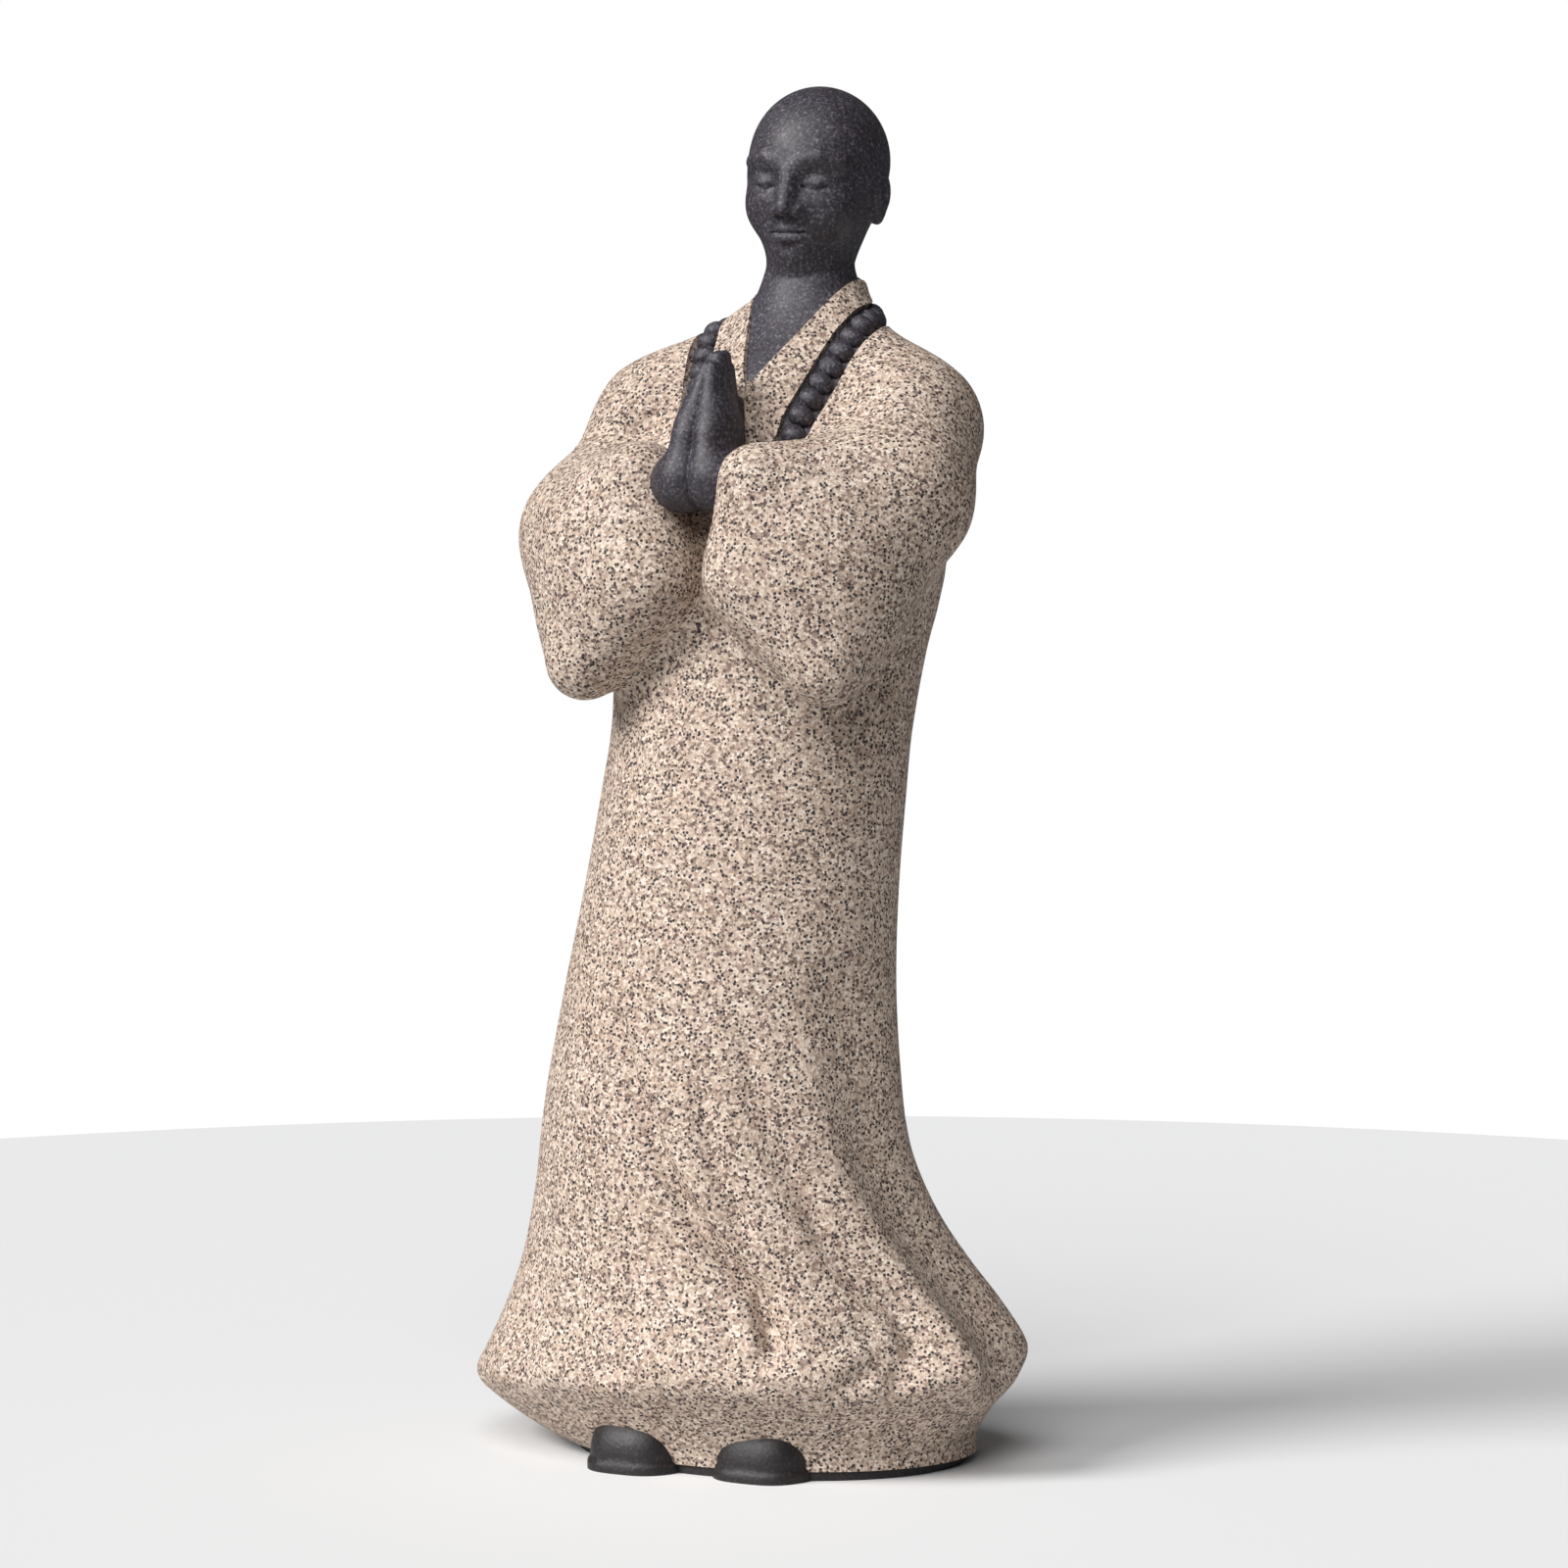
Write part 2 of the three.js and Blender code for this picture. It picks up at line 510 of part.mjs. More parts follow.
// The surface of a field inside a box, as a closed triangle mesh with the given cell size.
function surfaceOf(field, low, high, cell) {
  const n = low.map((v, k) => BLOCK * Math.ceil((high[k] - v) / cell / BLOCK) + 1);
  const value = new Float32Array(n[0] * n[1] * n[2]).fill(NaN);
  const index = (i, j, k) => i + n[0] * (j + n[1] * k);
  const place = (i, j, k) => [low[0] + i * cell, low[1] + j * cell, low[2] + k * cell];
  const cells = [];
  const halfDiagonal = (Math.sqrt(3) / 2) * BLOCK * cell;
  for (let bk = 0; bk < n[2] - 1; bk += BLOCK) {
    for (let bj = 0; bj < n[1] - 1; bj += BLOCK) {
      for (let bi = 0; bi < n[0] - 1; bi += BLOCK) {
        const middle = place(bi + BLOCK / 2, bj + BLOCK / 2, bk + BLOCK / 2);
        if (Math.abs(field(...middle)) > halfDiagonal * REACH_ALLOWANCE) continue;
        for (let k = bk; k <= bk + BLOCK; k++) {
          for (let j = bj; j <= bj + BLOCK; j++) {
            for (let i = bi; i <= bi + BLOCK; i++) {
              const at = index(i, j, k);
              if (Number.isNaN(value[at])) value[at] = field(...place(i, j, k)) || 1e-6;
            }
          }
        }
        for (let k = bk; k < bk + BLOCK; k++) {
          for (let j = bj; j < bj + BLOCK; j++) {
            for (let i = bi; i < bi + BLOCK; i++) cells.push([i, j, k]);
          }
        }
      }
    }
  }

  // One point in a cell for each patch of surface in it, at the mean of the patch's edge crossings.
  const points = [];
  const pointAt = new Map();
  for (const [i, j, k] of cells) {
    const d = CORNERS.map(([a, b, c]) => value[index(i + a, j + b, k + c)]);
    const patches = PATCHES[d.reduce((bits, v, n) => bits | (v < 0 ? 1 << n : 0), 0)];
    const sums = [];
    EDGES.forEach(([a, b], edge) => {
      const patch = patches[edge];
      if (patch < 0) return;
      const sum = (sums[patch] ??= { total: [0, 0, 0], count: 0, id: points.length + patch });
      const t = d[a] / (d[a] - d[b]);
      for (let m = 0; m < 3; m++) sum.total[m] += mix(CORNERS[a][m], CORNERS[b][m], t);
      sum.count++;
      pointAt.set(index(i, j, k) * 12 + edge, sum.id);
    });
    for (const { total, count } of sums) {
      points.push(place(i + total[0] / count, j + total[1] / count, k + total[2] / count));
    }
  }

  // Two triangles across each grid edge that the surface crosses.
  const triangles = [];
  const step = [1, n[0], n[0] * n[1]];
  for (const [i, j, k] of cells) {
    const here = index(i, j, k);
    for (let m = 0; m < 3; m++) {
      const inside = value[here] < 0;
      if (inside === value[here + step[m]] < 0) continue;
      const u = step[(m + 1) % 3];
      const v = step[(m + 2) % 3];
      const [du, dv] = m === 1 ? [2, 1] : [1, 2];
      const around = [[here - u - v, du + dv], [here - v, dv], [here, 0], [here - u, du]];
      const ring = around.map(([cell, corner]) => pointAt.get(cell * 12 + 4 * m + corner));
      if (ring.includes(undefined)) throw new Error("a form reaches the side of its grid");
      if (!inside) ring.reverse();
      const [a, b, c, e] = ring;
      const across = squared(points[a], points[c]) <= squared(points[b], points[e]);
      if (across) triangles.push([a, b, c], [a, c, e]);
      else triangles.push([a, b, e], [b, c, e]);
    }
  }
  return { points: points.map((p) => drawnIn(field, p, cell)), triangles };
}

function squared(a, b) {
  return (a[0] - b[0]) ** 2 + (a[1] - b[1]) ** 2 + (a[2] - b[2]) ** 2;
}

// The point moved onto the surface, by less than half a cell.
function drawnIn(field, p, cell) {
  const q = settle(field, p);
  return squared(p, q) < (cell / 2) ** 2 ? q : p;
}

// Thinning: edges are folded away in the order of least departure from the planes round them.
function thinned(mesh, target) {
  const points = mesh.points.map((p) => p.slice());
  const triangles = mesh.triangles.map((t) => t.slice());
  const around = points.map(() => new Set());
  triangles.forEach((t, i) => t.forEach((p) => around[p].add(i)));
  const quadrics = points.map(() => new Float64Array(10));
  for (const t of triangles) {
    const plane = planeOf(...t.map((p) => points[p]));
    for (const p of t) addPlane(quadrics[p], plane);
  }
  const age = new Int32Array(points.length);
  const heap = [];
  const push = (a, b) => {
    const fold = bestFold(quadrics[a], quadrics[b], points[a], points[b]);
    heapPush(heap, { cost: fold.cost, point: fold.point, a, b, ages: [age[a], age[b]] });
  };
  const neighbours = (p) => {
    const found = new Set();
    for (const t of around[p]) triangles[t].forEach((q) => q !== p && found.add(q));
    return found;
  };
  points.forEach((_, a) => neighbours(a).forEach((b) => a < b && push(a, b)));
  let left = triangles.length;
  while (left > target && heap.length) {
    const { a, b, point, ages } = heapPop(heap);
    if (ages[0] !== age[a] || ages[1] !== age[b] || !around[a].size || !around[b].size) continue;
    const shared = [...around[a]].filter((t) => around[b].has(t));
    if (shared.length !== 2) continue;
    const nearB = neighbours(b);
    if ([...neighbours(a)].filter((p) => nearB.has(p)).length !== 2) continue;
    if (turnsOver(points, triangles, around[a], a, b, point)) continue;
    if (turnsOver(points, triangles, around[b], b, a, point)) continue;
    points[a] = point;
    for (let i = 0; i < 10; i++) quadrics[a][i] += quadrics[b][i];
    for (const t of shared) {
      triangles[t].forEach((p) => around[p].delete(t));
      triangles[t] = null;
      left--;
    }
    for (const t of around[b]) {
      triangles[t] = triangles[t].map((p) => (p === b ? a : p));
      around[a].add(t);
    }
    around[b] = new Set();
    age[a]++;
    age[b]++;
    neighbours(a).forEach((q) => push(a, q));
  }
  const kept = triangles.filter(Boolean);
  const renamed = new Map();
  for (const t of kept) t.forEach((p) => renamed.has(p) || renamed.set(p, renamed.size));
  return {
    points: [...renamed.keys()].map((p) => points[p]),
    triangles: kept.map((t) => t.map((p) => renamed.get(p))),
  };
}

function planeOf(a, b, c) {
  const u = [b[0] - a[0], b[1] - a[1], b[2] - a[2]];
  const v = [c[0] - a[0], c[1] - a[1], c[2] - a[2]];
  const n = [u[1] * v[2] - u[2] * v[1], u[2] * v[0] - u[0] * v[2], u[0] * v[1] - u[1] * v[0]];
  const size = Math.hypot(...n) || 1;
  const [x, y, z] = n.map((value) => value / size);
  return [x, y, z, -(x * a[0] + y * a[1] + z * a[2]), size / 2];
}

function addPlane(q, [x, y, z, w, area]) {
  const v = [x, y, z, w];
  let i = 0;
  for (let r = 0; r < 4; r++) {
    for (let c = r; c < 4; c++) q[i++] += v[r] * v[c] * area;
  }
}

function departure(q, [x, y, z]) {
  return (
    q[0] * x * x + q[4] * y * y + q[7] * z * z + q[9] +
    2 * (q[1] * x * y + q[2] * x * z + q[5] * y * z + q[3] * x + q[6] * y + q[8] * z)
  );
}

// The point where two points fold together, and what the fold costs.
function bestFold(qa, qb, a, b) {
  const q = qa.map((value, i) => value + qb[i]);
  const middle = a.map((value, k) => (value + b[k]) / 2);
  const options = [a, b, middle];
  const spread = new THREE.Matrix3(q[0], q[1], q[2], q[1], q[4], q[5], q[2], q[5], q[7]);
  const scale = (q[0] + q[4] + q[7]) ** 3;
  if (Math.abs(spread.determinant()) > 1e-4 * scale) {
    const p = new THREE.Vector3(-q[3], -q[6], -q[8]).applyMatrix3(spread.invert()).toArray();
    if (squared(p, middle) < squared(a, b)) options.push(p);
  }
  const length2 = squared(a, b);
  let best = null;
  for (const point of options) {
    const cost = departure(q, point) + 1e-4 * length2 * length2;
    if (!best || cost < best.cost) best = { cost, point };
  }
  return best;
}

// Whether moving corner p of its triangles to a new point would turn any of them over or into a sliver.
function turnsOver(points, triangles, own, p, gone, point) {
  for (const t of own) {
    if (triangles[t].includes(gone)) continue;
    const before = planeOf(...triangles[t].map((q) => points[q]));
    const corners = triangles[t].map((q) => (q === p ? point : points[q]));
    const after = planeOf(...corners);
    if (before[0] * after[0] + before[1] * after[1] + before[2] * after[2] < 0.3) return true;
    const [c0, c1, c2] = corners;
    const longest = Math.max(squared(c0, c1), squared(c1, c2), squared(c2, c0));
    if (after[4] < 0.03 * longest) return true;
  }
  return false;
}

function heapPush(heap, item) {
  let i = heap.push(item) - 1;
  while (i > 0) {
    const parent = (i - 1) >> 1;
    if (heap[parent].cost <= heap[i].cost) break;
    [heap[parent], heap[i]] = [heap[i], heap[parent]];
    i = parent;
  }
}

function heapPop(heap) {
  const top = heap[0];
  const last = heap.pop();
  if (!heap.length) return top;
  heap[0] = last;
  let i = 0;
  for (;;) {
    const left = 2 * i + 1;
    const right = left + 1;
    let least = i;
    if (left < heap.length && heap[left].cost < heap[least].cost) least = left;
    if (right < heap.length && heap[right].cost < heap[least].cost) least = right;
    if (least === i) return top;
    [heap[least], heap[i]] = [heap[i], heap[least]];
    i = least;
  }
}

// Joining: every form becomes a solid, and the solids are fused and cut.
const kit = await Module();
kit.setup();

function solid(points, triangles) {
  return new kit.Manifold(new kit.Mesh({ numProp: 3, vertProperties: points, triVerts: triangles }));
}

function solidOfField(field, low, high, cell, target) {
  const mesh = thinned(surfaceOf(field, at(...low), at(...high), cell * part), target);
  return solid(new Float32Array(mesh.points.flat()), new Uint32Array(mesh.triangles.flat()));
}

function solidOfGeometry(geometry, matrix) {
  const bare = new THREE.BufferGeometry();
  bare.setAttribute("position", geometry.getAttribute("position").clone());
  bare.setIndex(geometry.getIndex());
  if (matrix) bare.applyMatrix4(matrix);
  const merged = mergeVertices(bare, 1e-4);
  return solid(merged.getAttribute("position").array, new Uint32Array(merged.getIndex().array));
}

// The space above the neckline, between the two straight edges of the V and the slant up to the collar.
function necklineSpace() {
  const reach = 60 * part;
  const vee = new THREE.Shape();
  vee.moveTo(0, 0);
  vee.lineTo(reach, V_STEEPNESS * reach);
  vee.lineTo(-reach, V_STEEPNESS * reach);
  const prism = new THREE.ExtrudeGeometry(vee, { depth: 2 * reach, bevelEnabled: false });
  prism.rotateX(Math.PI / 2);
  prism.translate(V_POINT[0], reach, V_POINT[2]);
  const slant = new THREE.BoxGeometry(4 * reach, 4 * reach, 2 * reach);
  slant.translate(0, 0, reach);
  slant.rotateX(Math.atan2(COLLAR_BACK_Z - V_POINT[2], COLLAR_BACK_Y - V_POINT[1]));
  slant.translate(0, V_POINT[1], V_POINT[2]);
  return solidOfGeometry(prism).intersect(solidOfGeometry(slant));
}

// The bead string lies on the robe and passes behind the hands and behind the neck.
const onRobe = (p) => new THREE.Vector3(...settle(gown, at(...p)));
const leftString = STRING_POINTS.map(onRobe);
const rightString = STRING_POINTS.slice(1).map(([x, y, z]) => onRobe([2 * STRING_MIDDLE_X - x, y, z]));
const string = new THREE.CatmullRomCurve3([...leftString, onRobe(STRING_LOW), ...rightString.reverse()], true);

function beads() {
  const count = Math.round(string.getLength() / BEAD_PITCH);
  const shape = new THREE.SphereGeometry(BEAD_WIDTH / 2, 6, 4);
  const along = new THREE.Vector3(0, 1, 0);
  const made = [];
  for (let i = 0; i < count; i++) {
    const t = i / count;
    const p = string.getPointAt(t);
    const out = new THREE.Vector3(...slopeOf(gown, p.x, p.y, p.z, 0.05 * part)).normalize();
    const turn = new THREE.Quaternion().setFromUnitVectors(along, string.getTangentAt(t));
    const size = new THREE.Vector3(1, (BEAD_PITCH * 1.08) / BEAD_WIDTH, 1);
    const matrix = new THREE.Matrix4().compose(p.addScaledVector(out, BEAD_LIFT), turn, size);
    made.push(solidOfGeometry(shape, matrix));
  }
  return made;
}

function footRing() {
  const [, , rx, ry] = ROBE_TUCK(0).map((value) => value * part);
  const ring = new THREE.CylinderGeometry(1, 1, 2 * FOOT_RING_HEIGHT, 64);
  ring.rotateX(Math.PI / 2);
  ring.scale(rx - FOOT_RING_INSET, ry - FOOT_RING_INSET, 1);
  ring.translate(0, 0, FOOT_RING_HEIGHT);
  return solidOfGeometry(ring);
}

function figure() {
  const below = new THREE.BoxGeometry(400 * part, 400 * part, 100 * part);
  below.translate(0, 0, FOOT_RING_HEIGHT - 50 * part);
  const bed = new THREE.TubeGeometry(string, 40, STRING_BED_WIDTH / 2, 6, true);
  const glazed = solidOfField(closedGown, [-100, -90, -7], [100, 90, 230], 1.7, 2950)
    .subtract(solidOfGeometry(below))
    .subtract(necklineSpace())
    .subtract(solidOfGeometry(bed));
  const clay = [
    solidOfField(chest, [-40, -40, 160], [40, 44, 250], 1.5, 380),
    solidOfField(headAndNeck, [-24, -22, 170], [32, 44, 258], 0.65, 1750),
    solidOfField(hands, [-28, -56, 148], [28, 0, 214], 0.75, 860),
    solidOfField(shoes, [-34, -52, -6], [34, 10, 22], 1, 300),
    footRing(),
    ...beads(),
  ];
  const floor = new THREE.BoxGeometry(400 * part, 400 * part, 100 * part);
  floor.translate(0, 0, -50 * part);
  return kit.Manifold.union([glazed, ...clay]).subtract(solidOfGeometry(floor));
}

function geometryOf(made) {
  const mesh = made.getMesh();
  const geometry = new THREE.BufferGeometry();
  geometry.setAttribute("position", new THREE.BufferAttribute(mesh.vertProperties, mesh.numProp));
  geometry.setIndex(new THREE.BufferAttribute(mesh.triVerts, 1));
  geometry.computeVertexNormals();
  return geometry;
}

const clayAndGlaze = new THREE.MeshStandardMaterial({ color: 0xb9a48c, roughness: 0.8 });
const statuette = new THREE.Mesh(geometryOf(figure()), clayAndGlaze);
statuette.name = "monk_statuette";

const model = new THREE.Group();
model.name = "praying_monk_statuette";
model.add(statuette);

export default model;
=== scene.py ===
# Looks of a standing monk in a wide-sleeved robe, palms pressed together before the chest.
# The statuette is fired in one piece. Its robe is sand glazed, and its head, neck, hands, bead string,
# shoes and foot ring are bare dark clay. It faces -Y, its own left hand is at +X, and it stands on z = 0.
#
# Each form is a distance field: a function of points that is negative inside the clay. The fields are
# meshed on a grid in millimetres, fused into one piece that stands for the cast body, and finished.
import math

import bmesh
import bpy
import numpy as np
from mathutils import Euler, Matrix, Vector


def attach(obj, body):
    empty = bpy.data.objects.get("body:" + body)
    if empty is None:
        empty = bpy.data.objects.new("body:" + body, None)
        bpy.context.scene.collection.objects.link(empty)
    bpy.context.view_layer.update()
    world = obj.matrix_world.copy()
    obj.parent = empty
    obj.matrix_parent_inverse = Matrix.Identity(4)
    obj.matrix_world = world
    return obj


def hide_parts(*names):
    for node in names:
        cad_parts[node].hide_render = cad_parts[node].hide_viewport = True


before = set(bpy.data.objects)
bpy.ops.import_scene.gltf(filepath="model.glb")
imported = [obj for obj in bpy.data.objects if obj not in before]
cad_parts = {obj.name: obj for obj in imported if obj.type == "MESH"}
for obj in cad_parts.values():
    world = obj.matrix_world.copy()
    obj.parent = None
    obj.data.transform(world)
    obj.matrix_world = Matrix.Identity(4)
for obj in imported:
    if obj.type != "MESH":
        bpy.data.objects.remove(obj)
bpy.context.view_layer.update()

# One millimetre in metres
MM = 0.001

# Sizes in millimetres, like the solid's but for a deeper glaze step and a narrower foot ring
GLAZE_STEP = 1.2
BEAD_WIDTH = 4.5
BEAD_PITCH = 3.7
BEAD_LIFT = -1.1
STRING_BED_WIDTH = 5.6
FOOT_RING_HEIGHT = 1.6
FOOT_RING_INSET = 1.1
SOLE_THICKNESS = 2.0
SOLE_LIP = 0.5

# A bead's size: across the string and outwards over its width, and along the string over the pitch
BEAD_ACROSS = 1.04
BEAD_OUTWARD = 0.86
BEAD_ALONG = 1.08

# Cells of the grids that the forms are meshed on, in millimetres
ROBE_CELL = 1.15
CHEST_CELL = 0.9
HEAD_CELL = 0.42
HAND_CELL = 0.42
SHOE_CELL = 0.6

# The photograph's view of the figure: distances in metres, lens and sensor in millimetres
VIEW_AZIMUTH = math.radians(28)
VIEW_ELEVATION = math.radians(4)
VIEW_DISTANCE = 0.95
VIEW_ASIDE = 0.00224
VIEW_HEIGHT = 0.1179
LENS = 124.2
SENSOR = 36.0


# Keeps a division away from zero
TINY = 1e-9


# Blending and interpolation
def smooth_min(a, b, reach):
    """The smaller of two distances, rounded off where they differ by less than the reach."""
    h = np.maximum(reach - np.abs(a - b), 0.0) / reach
    return np.minimum(a, b) - h * h * reach / 4


def smooth_max(a, b, reach):
    return -smooth_min(-a, -b, reach)


def joined(fields):
    """Forms put together with sharp seams."""
    return lambda p: np.minimum.reduce([field(p) for field in fields])


def blended(fields, reach):
    """Forms put together with soft seams."""

    def field(p):
        d = fields[0](p)
        for other in fields[1:]:
            d = smooth_min(d, other(p), reach)
        return d

    return field


def profile(rows):
    """A smooth curve through rows of z and values, sorted by z."""
    rows = np.array(rows, float)
    z, values = rows[:, 0], rows[:, 1:].T
    slope = np.empty_like(values)
    slope[:, 1:-1] = (values[:, 2:] - values[:, :-2]) / (z[2:] - z[:-2])
    slope[:, 0] = (values[:, 1] - values[:, 0]) / (z[1] - z[0])
    slope[:, -1] = (values[:, -1] - values[:, -2]) / (z[-1] - z[-2])

    def values_at(height):
        height = np.clip(height, z[0], z[-1])
        i = np.clip(np.searchsorted(z, height, side="right") - 1, 0, len(z) - 2)
        span = z[i + 1] - z[i]
        t = (height - z[i]) / span
        start, rise = values[:, i], values[:, i + 1] - values[:, i]
        s0, s1 = slope[:, i] * span, slope[:, i + 1] * span
        return start + t * (s0 + t * (3 * rise - 2 * s0 - s1 + t * (s0 + s1 - 2 * rise)))

    return values_at


# Basic forms: each takes points as the three rows of an array
def ellipsoid(centre, radii):
    centre, radii = np.array(centre, float)[:, None], np.array(radii, float)[:, None]

    def field(p):
        q = (p - centre) / radii
        k0 = np.sqrt((q * q).sum(0))
        q = q / radii
        k1 = np.sqrt((q * q).sum(0))
        return k0 * (k0 - 1) / np.maximum(k1, TINY)

    return field


def limb(a, b, radius_a, radius_b):
    """A straight limb from a to b."""
    a = np.array(a, float)
    along = np.array(b, float) - a

    def field(p):
        q = p - a[:, None]
        t = np.clip(along @ q / (along @ along), 0, 1)
        q = q - along[:, None] * t
        return np.sqrt((q * q).sum(0)) - (radius_a + (radius_b - radius_a) * t)

    return field


def strand(points, radii):
    """A bent limb through points, with one radius at each."""
    return joined([limb(*ends) for ends in zip(points, points[1:], radii, radii[1:])])


def plate(corners, radii):
    """A plate with rounded faces: a triangle thickened by a radius at each corner."""
    a, b, c = (np.array(v, float) for v in corners)
    radius_a, radius_b, radius_c = radii
    ab, ac = b - a, c - a
    bb, bc, cc = ab @ ab, ab @ ac, ac @ ac
    det = bb * cc - bc * bc
    rim = strand((a, b, c, a), (radius_a, radius_b, radius_c, radius_a))

    def field(p):
        q = p - a[:, None]
        pb, pc = ab @ q, ac @ q
        u = (cc * pb - bc * pc) / det
        v = (bb * pc - bc * pb) / det
        q = q - ab[:, None] * u - ac[:, None] * v
        over = np.sqrt((q * q).sum(0)) - (radius_a + u * (radius_b - radius_a) + v * (radius_c - radius_a))
        return np.where((u < 0) | (v < 0) | (u + v > 1), rim(p), over)

    return field


# What a step of a sculpted form does
ADD, CUT = "add", "cut"


def mirrored(p):
    """The points folded over to the figure's left."""
    return np.stack([np.abs(p[0]), p[1], p[2]])


def sculpted(first, steps):
    """A form that is the same on both sides: others are added to the first or cut from it, in turn."""

    def field(p):
        folded = mirrored(p)
        d = first(folded)
        for way, other, reach in steps:
            if way == ADD:
                d = smooth_min(d, other(folded), reach)
            else:
                d = smooth_max(d, -other(folded), reach)
        return d

    return field


def placed(field, position, degrees, scale):
    """A form scaled about its origin, turned about X, Y and Z, and moved to a position."""
    turn = Euler([math.radians(d) for d in degrees], "XYZ").to_matrix()
    inverse = np.array(turn.inverted())
    origin = np.array(position, float)[:, None]
    return lambda p: field(inverse @ (p - origin) / scale) * scale


# The robe's outer profile, hem to collar: rows of z, centre x, centre y, half width and half depth
ROBE_FLARE = profile([
    [0, -3, -2, 60, 51],
    [8, -3, -2, 54.6, 45],
    [15, -3, -2, 50.4, 40.2],
    [21, -2, -2, 48.6, 36.8],
    [28, -2.4, -2.6, 45, 33.4],
    [35, -3.2, -4.2, 41.2, 30.6],
    [42, -4, -6, 38, 28.6],
    [49, -4.5, -7.5, 35.6, 27.2],
    [56, -4.9, -8.4, 34, 26.1],
    [66, -4.8, -8.6, 32.6, 25],
    [83, -4.2, -7.4, 30.4, 23.5],
    [100, -2.9, -5.8, 28.8, 22.5],
    [118, -1.3, -3.9, 27.8, 22],
    [128, -0.4, -2.9, 27.5, 21.8],
    [142, 0.5, -1.4, 28.8, 21.4],
    [150, 1.2, -0.4, 30, 21.2],
    [158, 1.6, 0.6, 30.6, 20.9],
    [166, 0.9, 1.6, 28.8, 20.4],
    [175, 1, 2.8, 25.6, 19.6],
    [188, 1.5, 4.6, 16.4, 17.8],
    [196, 2.7, 7, 12, 13.2],
    [203, 3.3, 9.4, 9.7, 10],
    [212, 3.0, 10.6, 8.3, 9.4],
])

# The cloth that turns in under the hem to the foot ring, in the same rows
ROBE_TUCK = profile([
    [-4, 0.4, 1.2, 34.6, 27.4],
    [0, 0.5, 1.2, 37.2, 28.6],
    [4, -4.6, 1, 42, 30],
    [7.5, -6.6, 0.4, 46, 31.6],
    [11, -7.4, -0.4, 49.6, 33.4],
    [15, -6.8, -1.2, 54.2, 36],
    [21, -5.6, -1.8, 61, 39.4],
    [28, -4, -2, 66, 43.5],
    [40, -4, -2, 82, 56],
])
HEM_ROUNDING = 4.5

# Folds pressed into the skirt: a path in degrees round the robe from its front towards its left hand
# and heights, a width, and the rise of the ridge at the path's two ends, negative for a groove
FOLDS = [
    ([[51, 70], [58, 57], [64, 45], [67, 36], [70, 27], [73, 19]], 4, [0.4, 3.2]),
    ([[66, 82], [75, 62], [81, 48], [86, 38], [90, 29], [94, 16]], 9, [-1.5, -4]),
    ([[-18, 78], [-10, 69], [-1, 60], [10, 47], [17, 40], [25, 33], [26, 24]], 2, [-1.6, -3.6]),
    ([[16, 27], [15, 23], [21, 21]], 2.2, [-1, -2]),
    ([[16, 66], [21, 52], [25, 45]], 2.2, [-1, -1.8]),
    ([[29, 74], [38, 60], [46, 50], [49, 40], [53, 34], [60, 30], [61, 24], [56, 19]], 3, [-0.9, -3.4]),
    ([[40, 25], [47, 26], [52, 23], [43, 18]], 2.4, [-1.2, -2.6]),
    ([[-24, 23], [-12, 18]], 3.6, [-1.4, -2.2]),
    ([[-46, 34], [-40, 22], [-38, 16]], 4.5, [-0.4, -1.8]),
    ([[98, 60], [104, 40], [109, 21]], 9, [0, 1.7]),
    ([[136, 60], [140, 36], [142, 20]], 8, [-0.6, -2.6]),
    ([[176, 66], [180, 40], [180, 20]], 9, [-0.5, -2.4]),
    ([[-130, 60], [-136, 36], [-138, 20]], 8, [-0.6, -2.6]),
]

# The radius at which the skirt is unrolled, how many widths a fold spreads to each side of its path, how
# far from the cloth it is still worked out, and the height above which there are no folds
UNROLLED_RADIUS = 38.0
FOLD_SPREAD = 3
FOLD_REACH = 10.0
FOLD_TOP = 90.0


def along_path(path, s, z):
    """Distance from points (s, z) to a path in the unrolled skirt, and how far along it they fall."""
    best = np.full_like(z, np.inf)
    share = np.zeros_like(z)
    for i, (start, end) in enumerate(zip(path, path[1:])):
        ds, dz = end - start
        t = np.clip(((s - start[0]) * ds + (z - start[1]) * dz) / (ds * ds + dz * dz), 0, 1)
        away = np.hypot(s - start[0] - t * ds, z - start[1] - t * dz)
        nearer = away < best
        best[nearer] = away[nearer]
        share[nearer] = (i + t[nearer]) / (len(path) - 1)
    return best, share


def fold_lift(angle, z):
    """How far the folds lift the cloth at an angle round the robe and a height."""
    lift = np.zeros_like(z)
    for path, width, (first, last) in FOLDS:
        start = math.radians(path[0][0])
        nearest = angle + 2 * math.pi * np.round((start - angle) / (2 * math.pi))
        unrolled = np.array([[math.radians(a) * UNROLLED_RADIUS, height] for a, height in path])
        away, share = along_path(unrolled, nearest * UNROLLED_RADIUS, z)
        rise = first + (last - first) * share
        lift += np.where(away < FOLD_SPREAD * width, rise * np.exp(-((away / width) ** 2)), 0)
    return lift


def column(sections, lift=None):
    """An upright column whose elliptical sections follow a profile, with an optional lift."""

    def field(p):
        cx, cy, rx, ry = sections(p[2])
        u, v = (p[0] - cx) / rx, (p[1] - cy) / ry
        k0 = np.hypot(u, v)
        k1 = np.hypot(u / rx, v / ry)
        d = k0 * (k0 - 1) / np.maximum(k1, TINY)
        if lift:
            near = (p[2] <= FOLD_TOP) & (np.abs(d) <= FOLD_REACH)
            d[near] -= lift(np.arctan2(u[near], -v[near]), p[2][near])
        return d

    return field


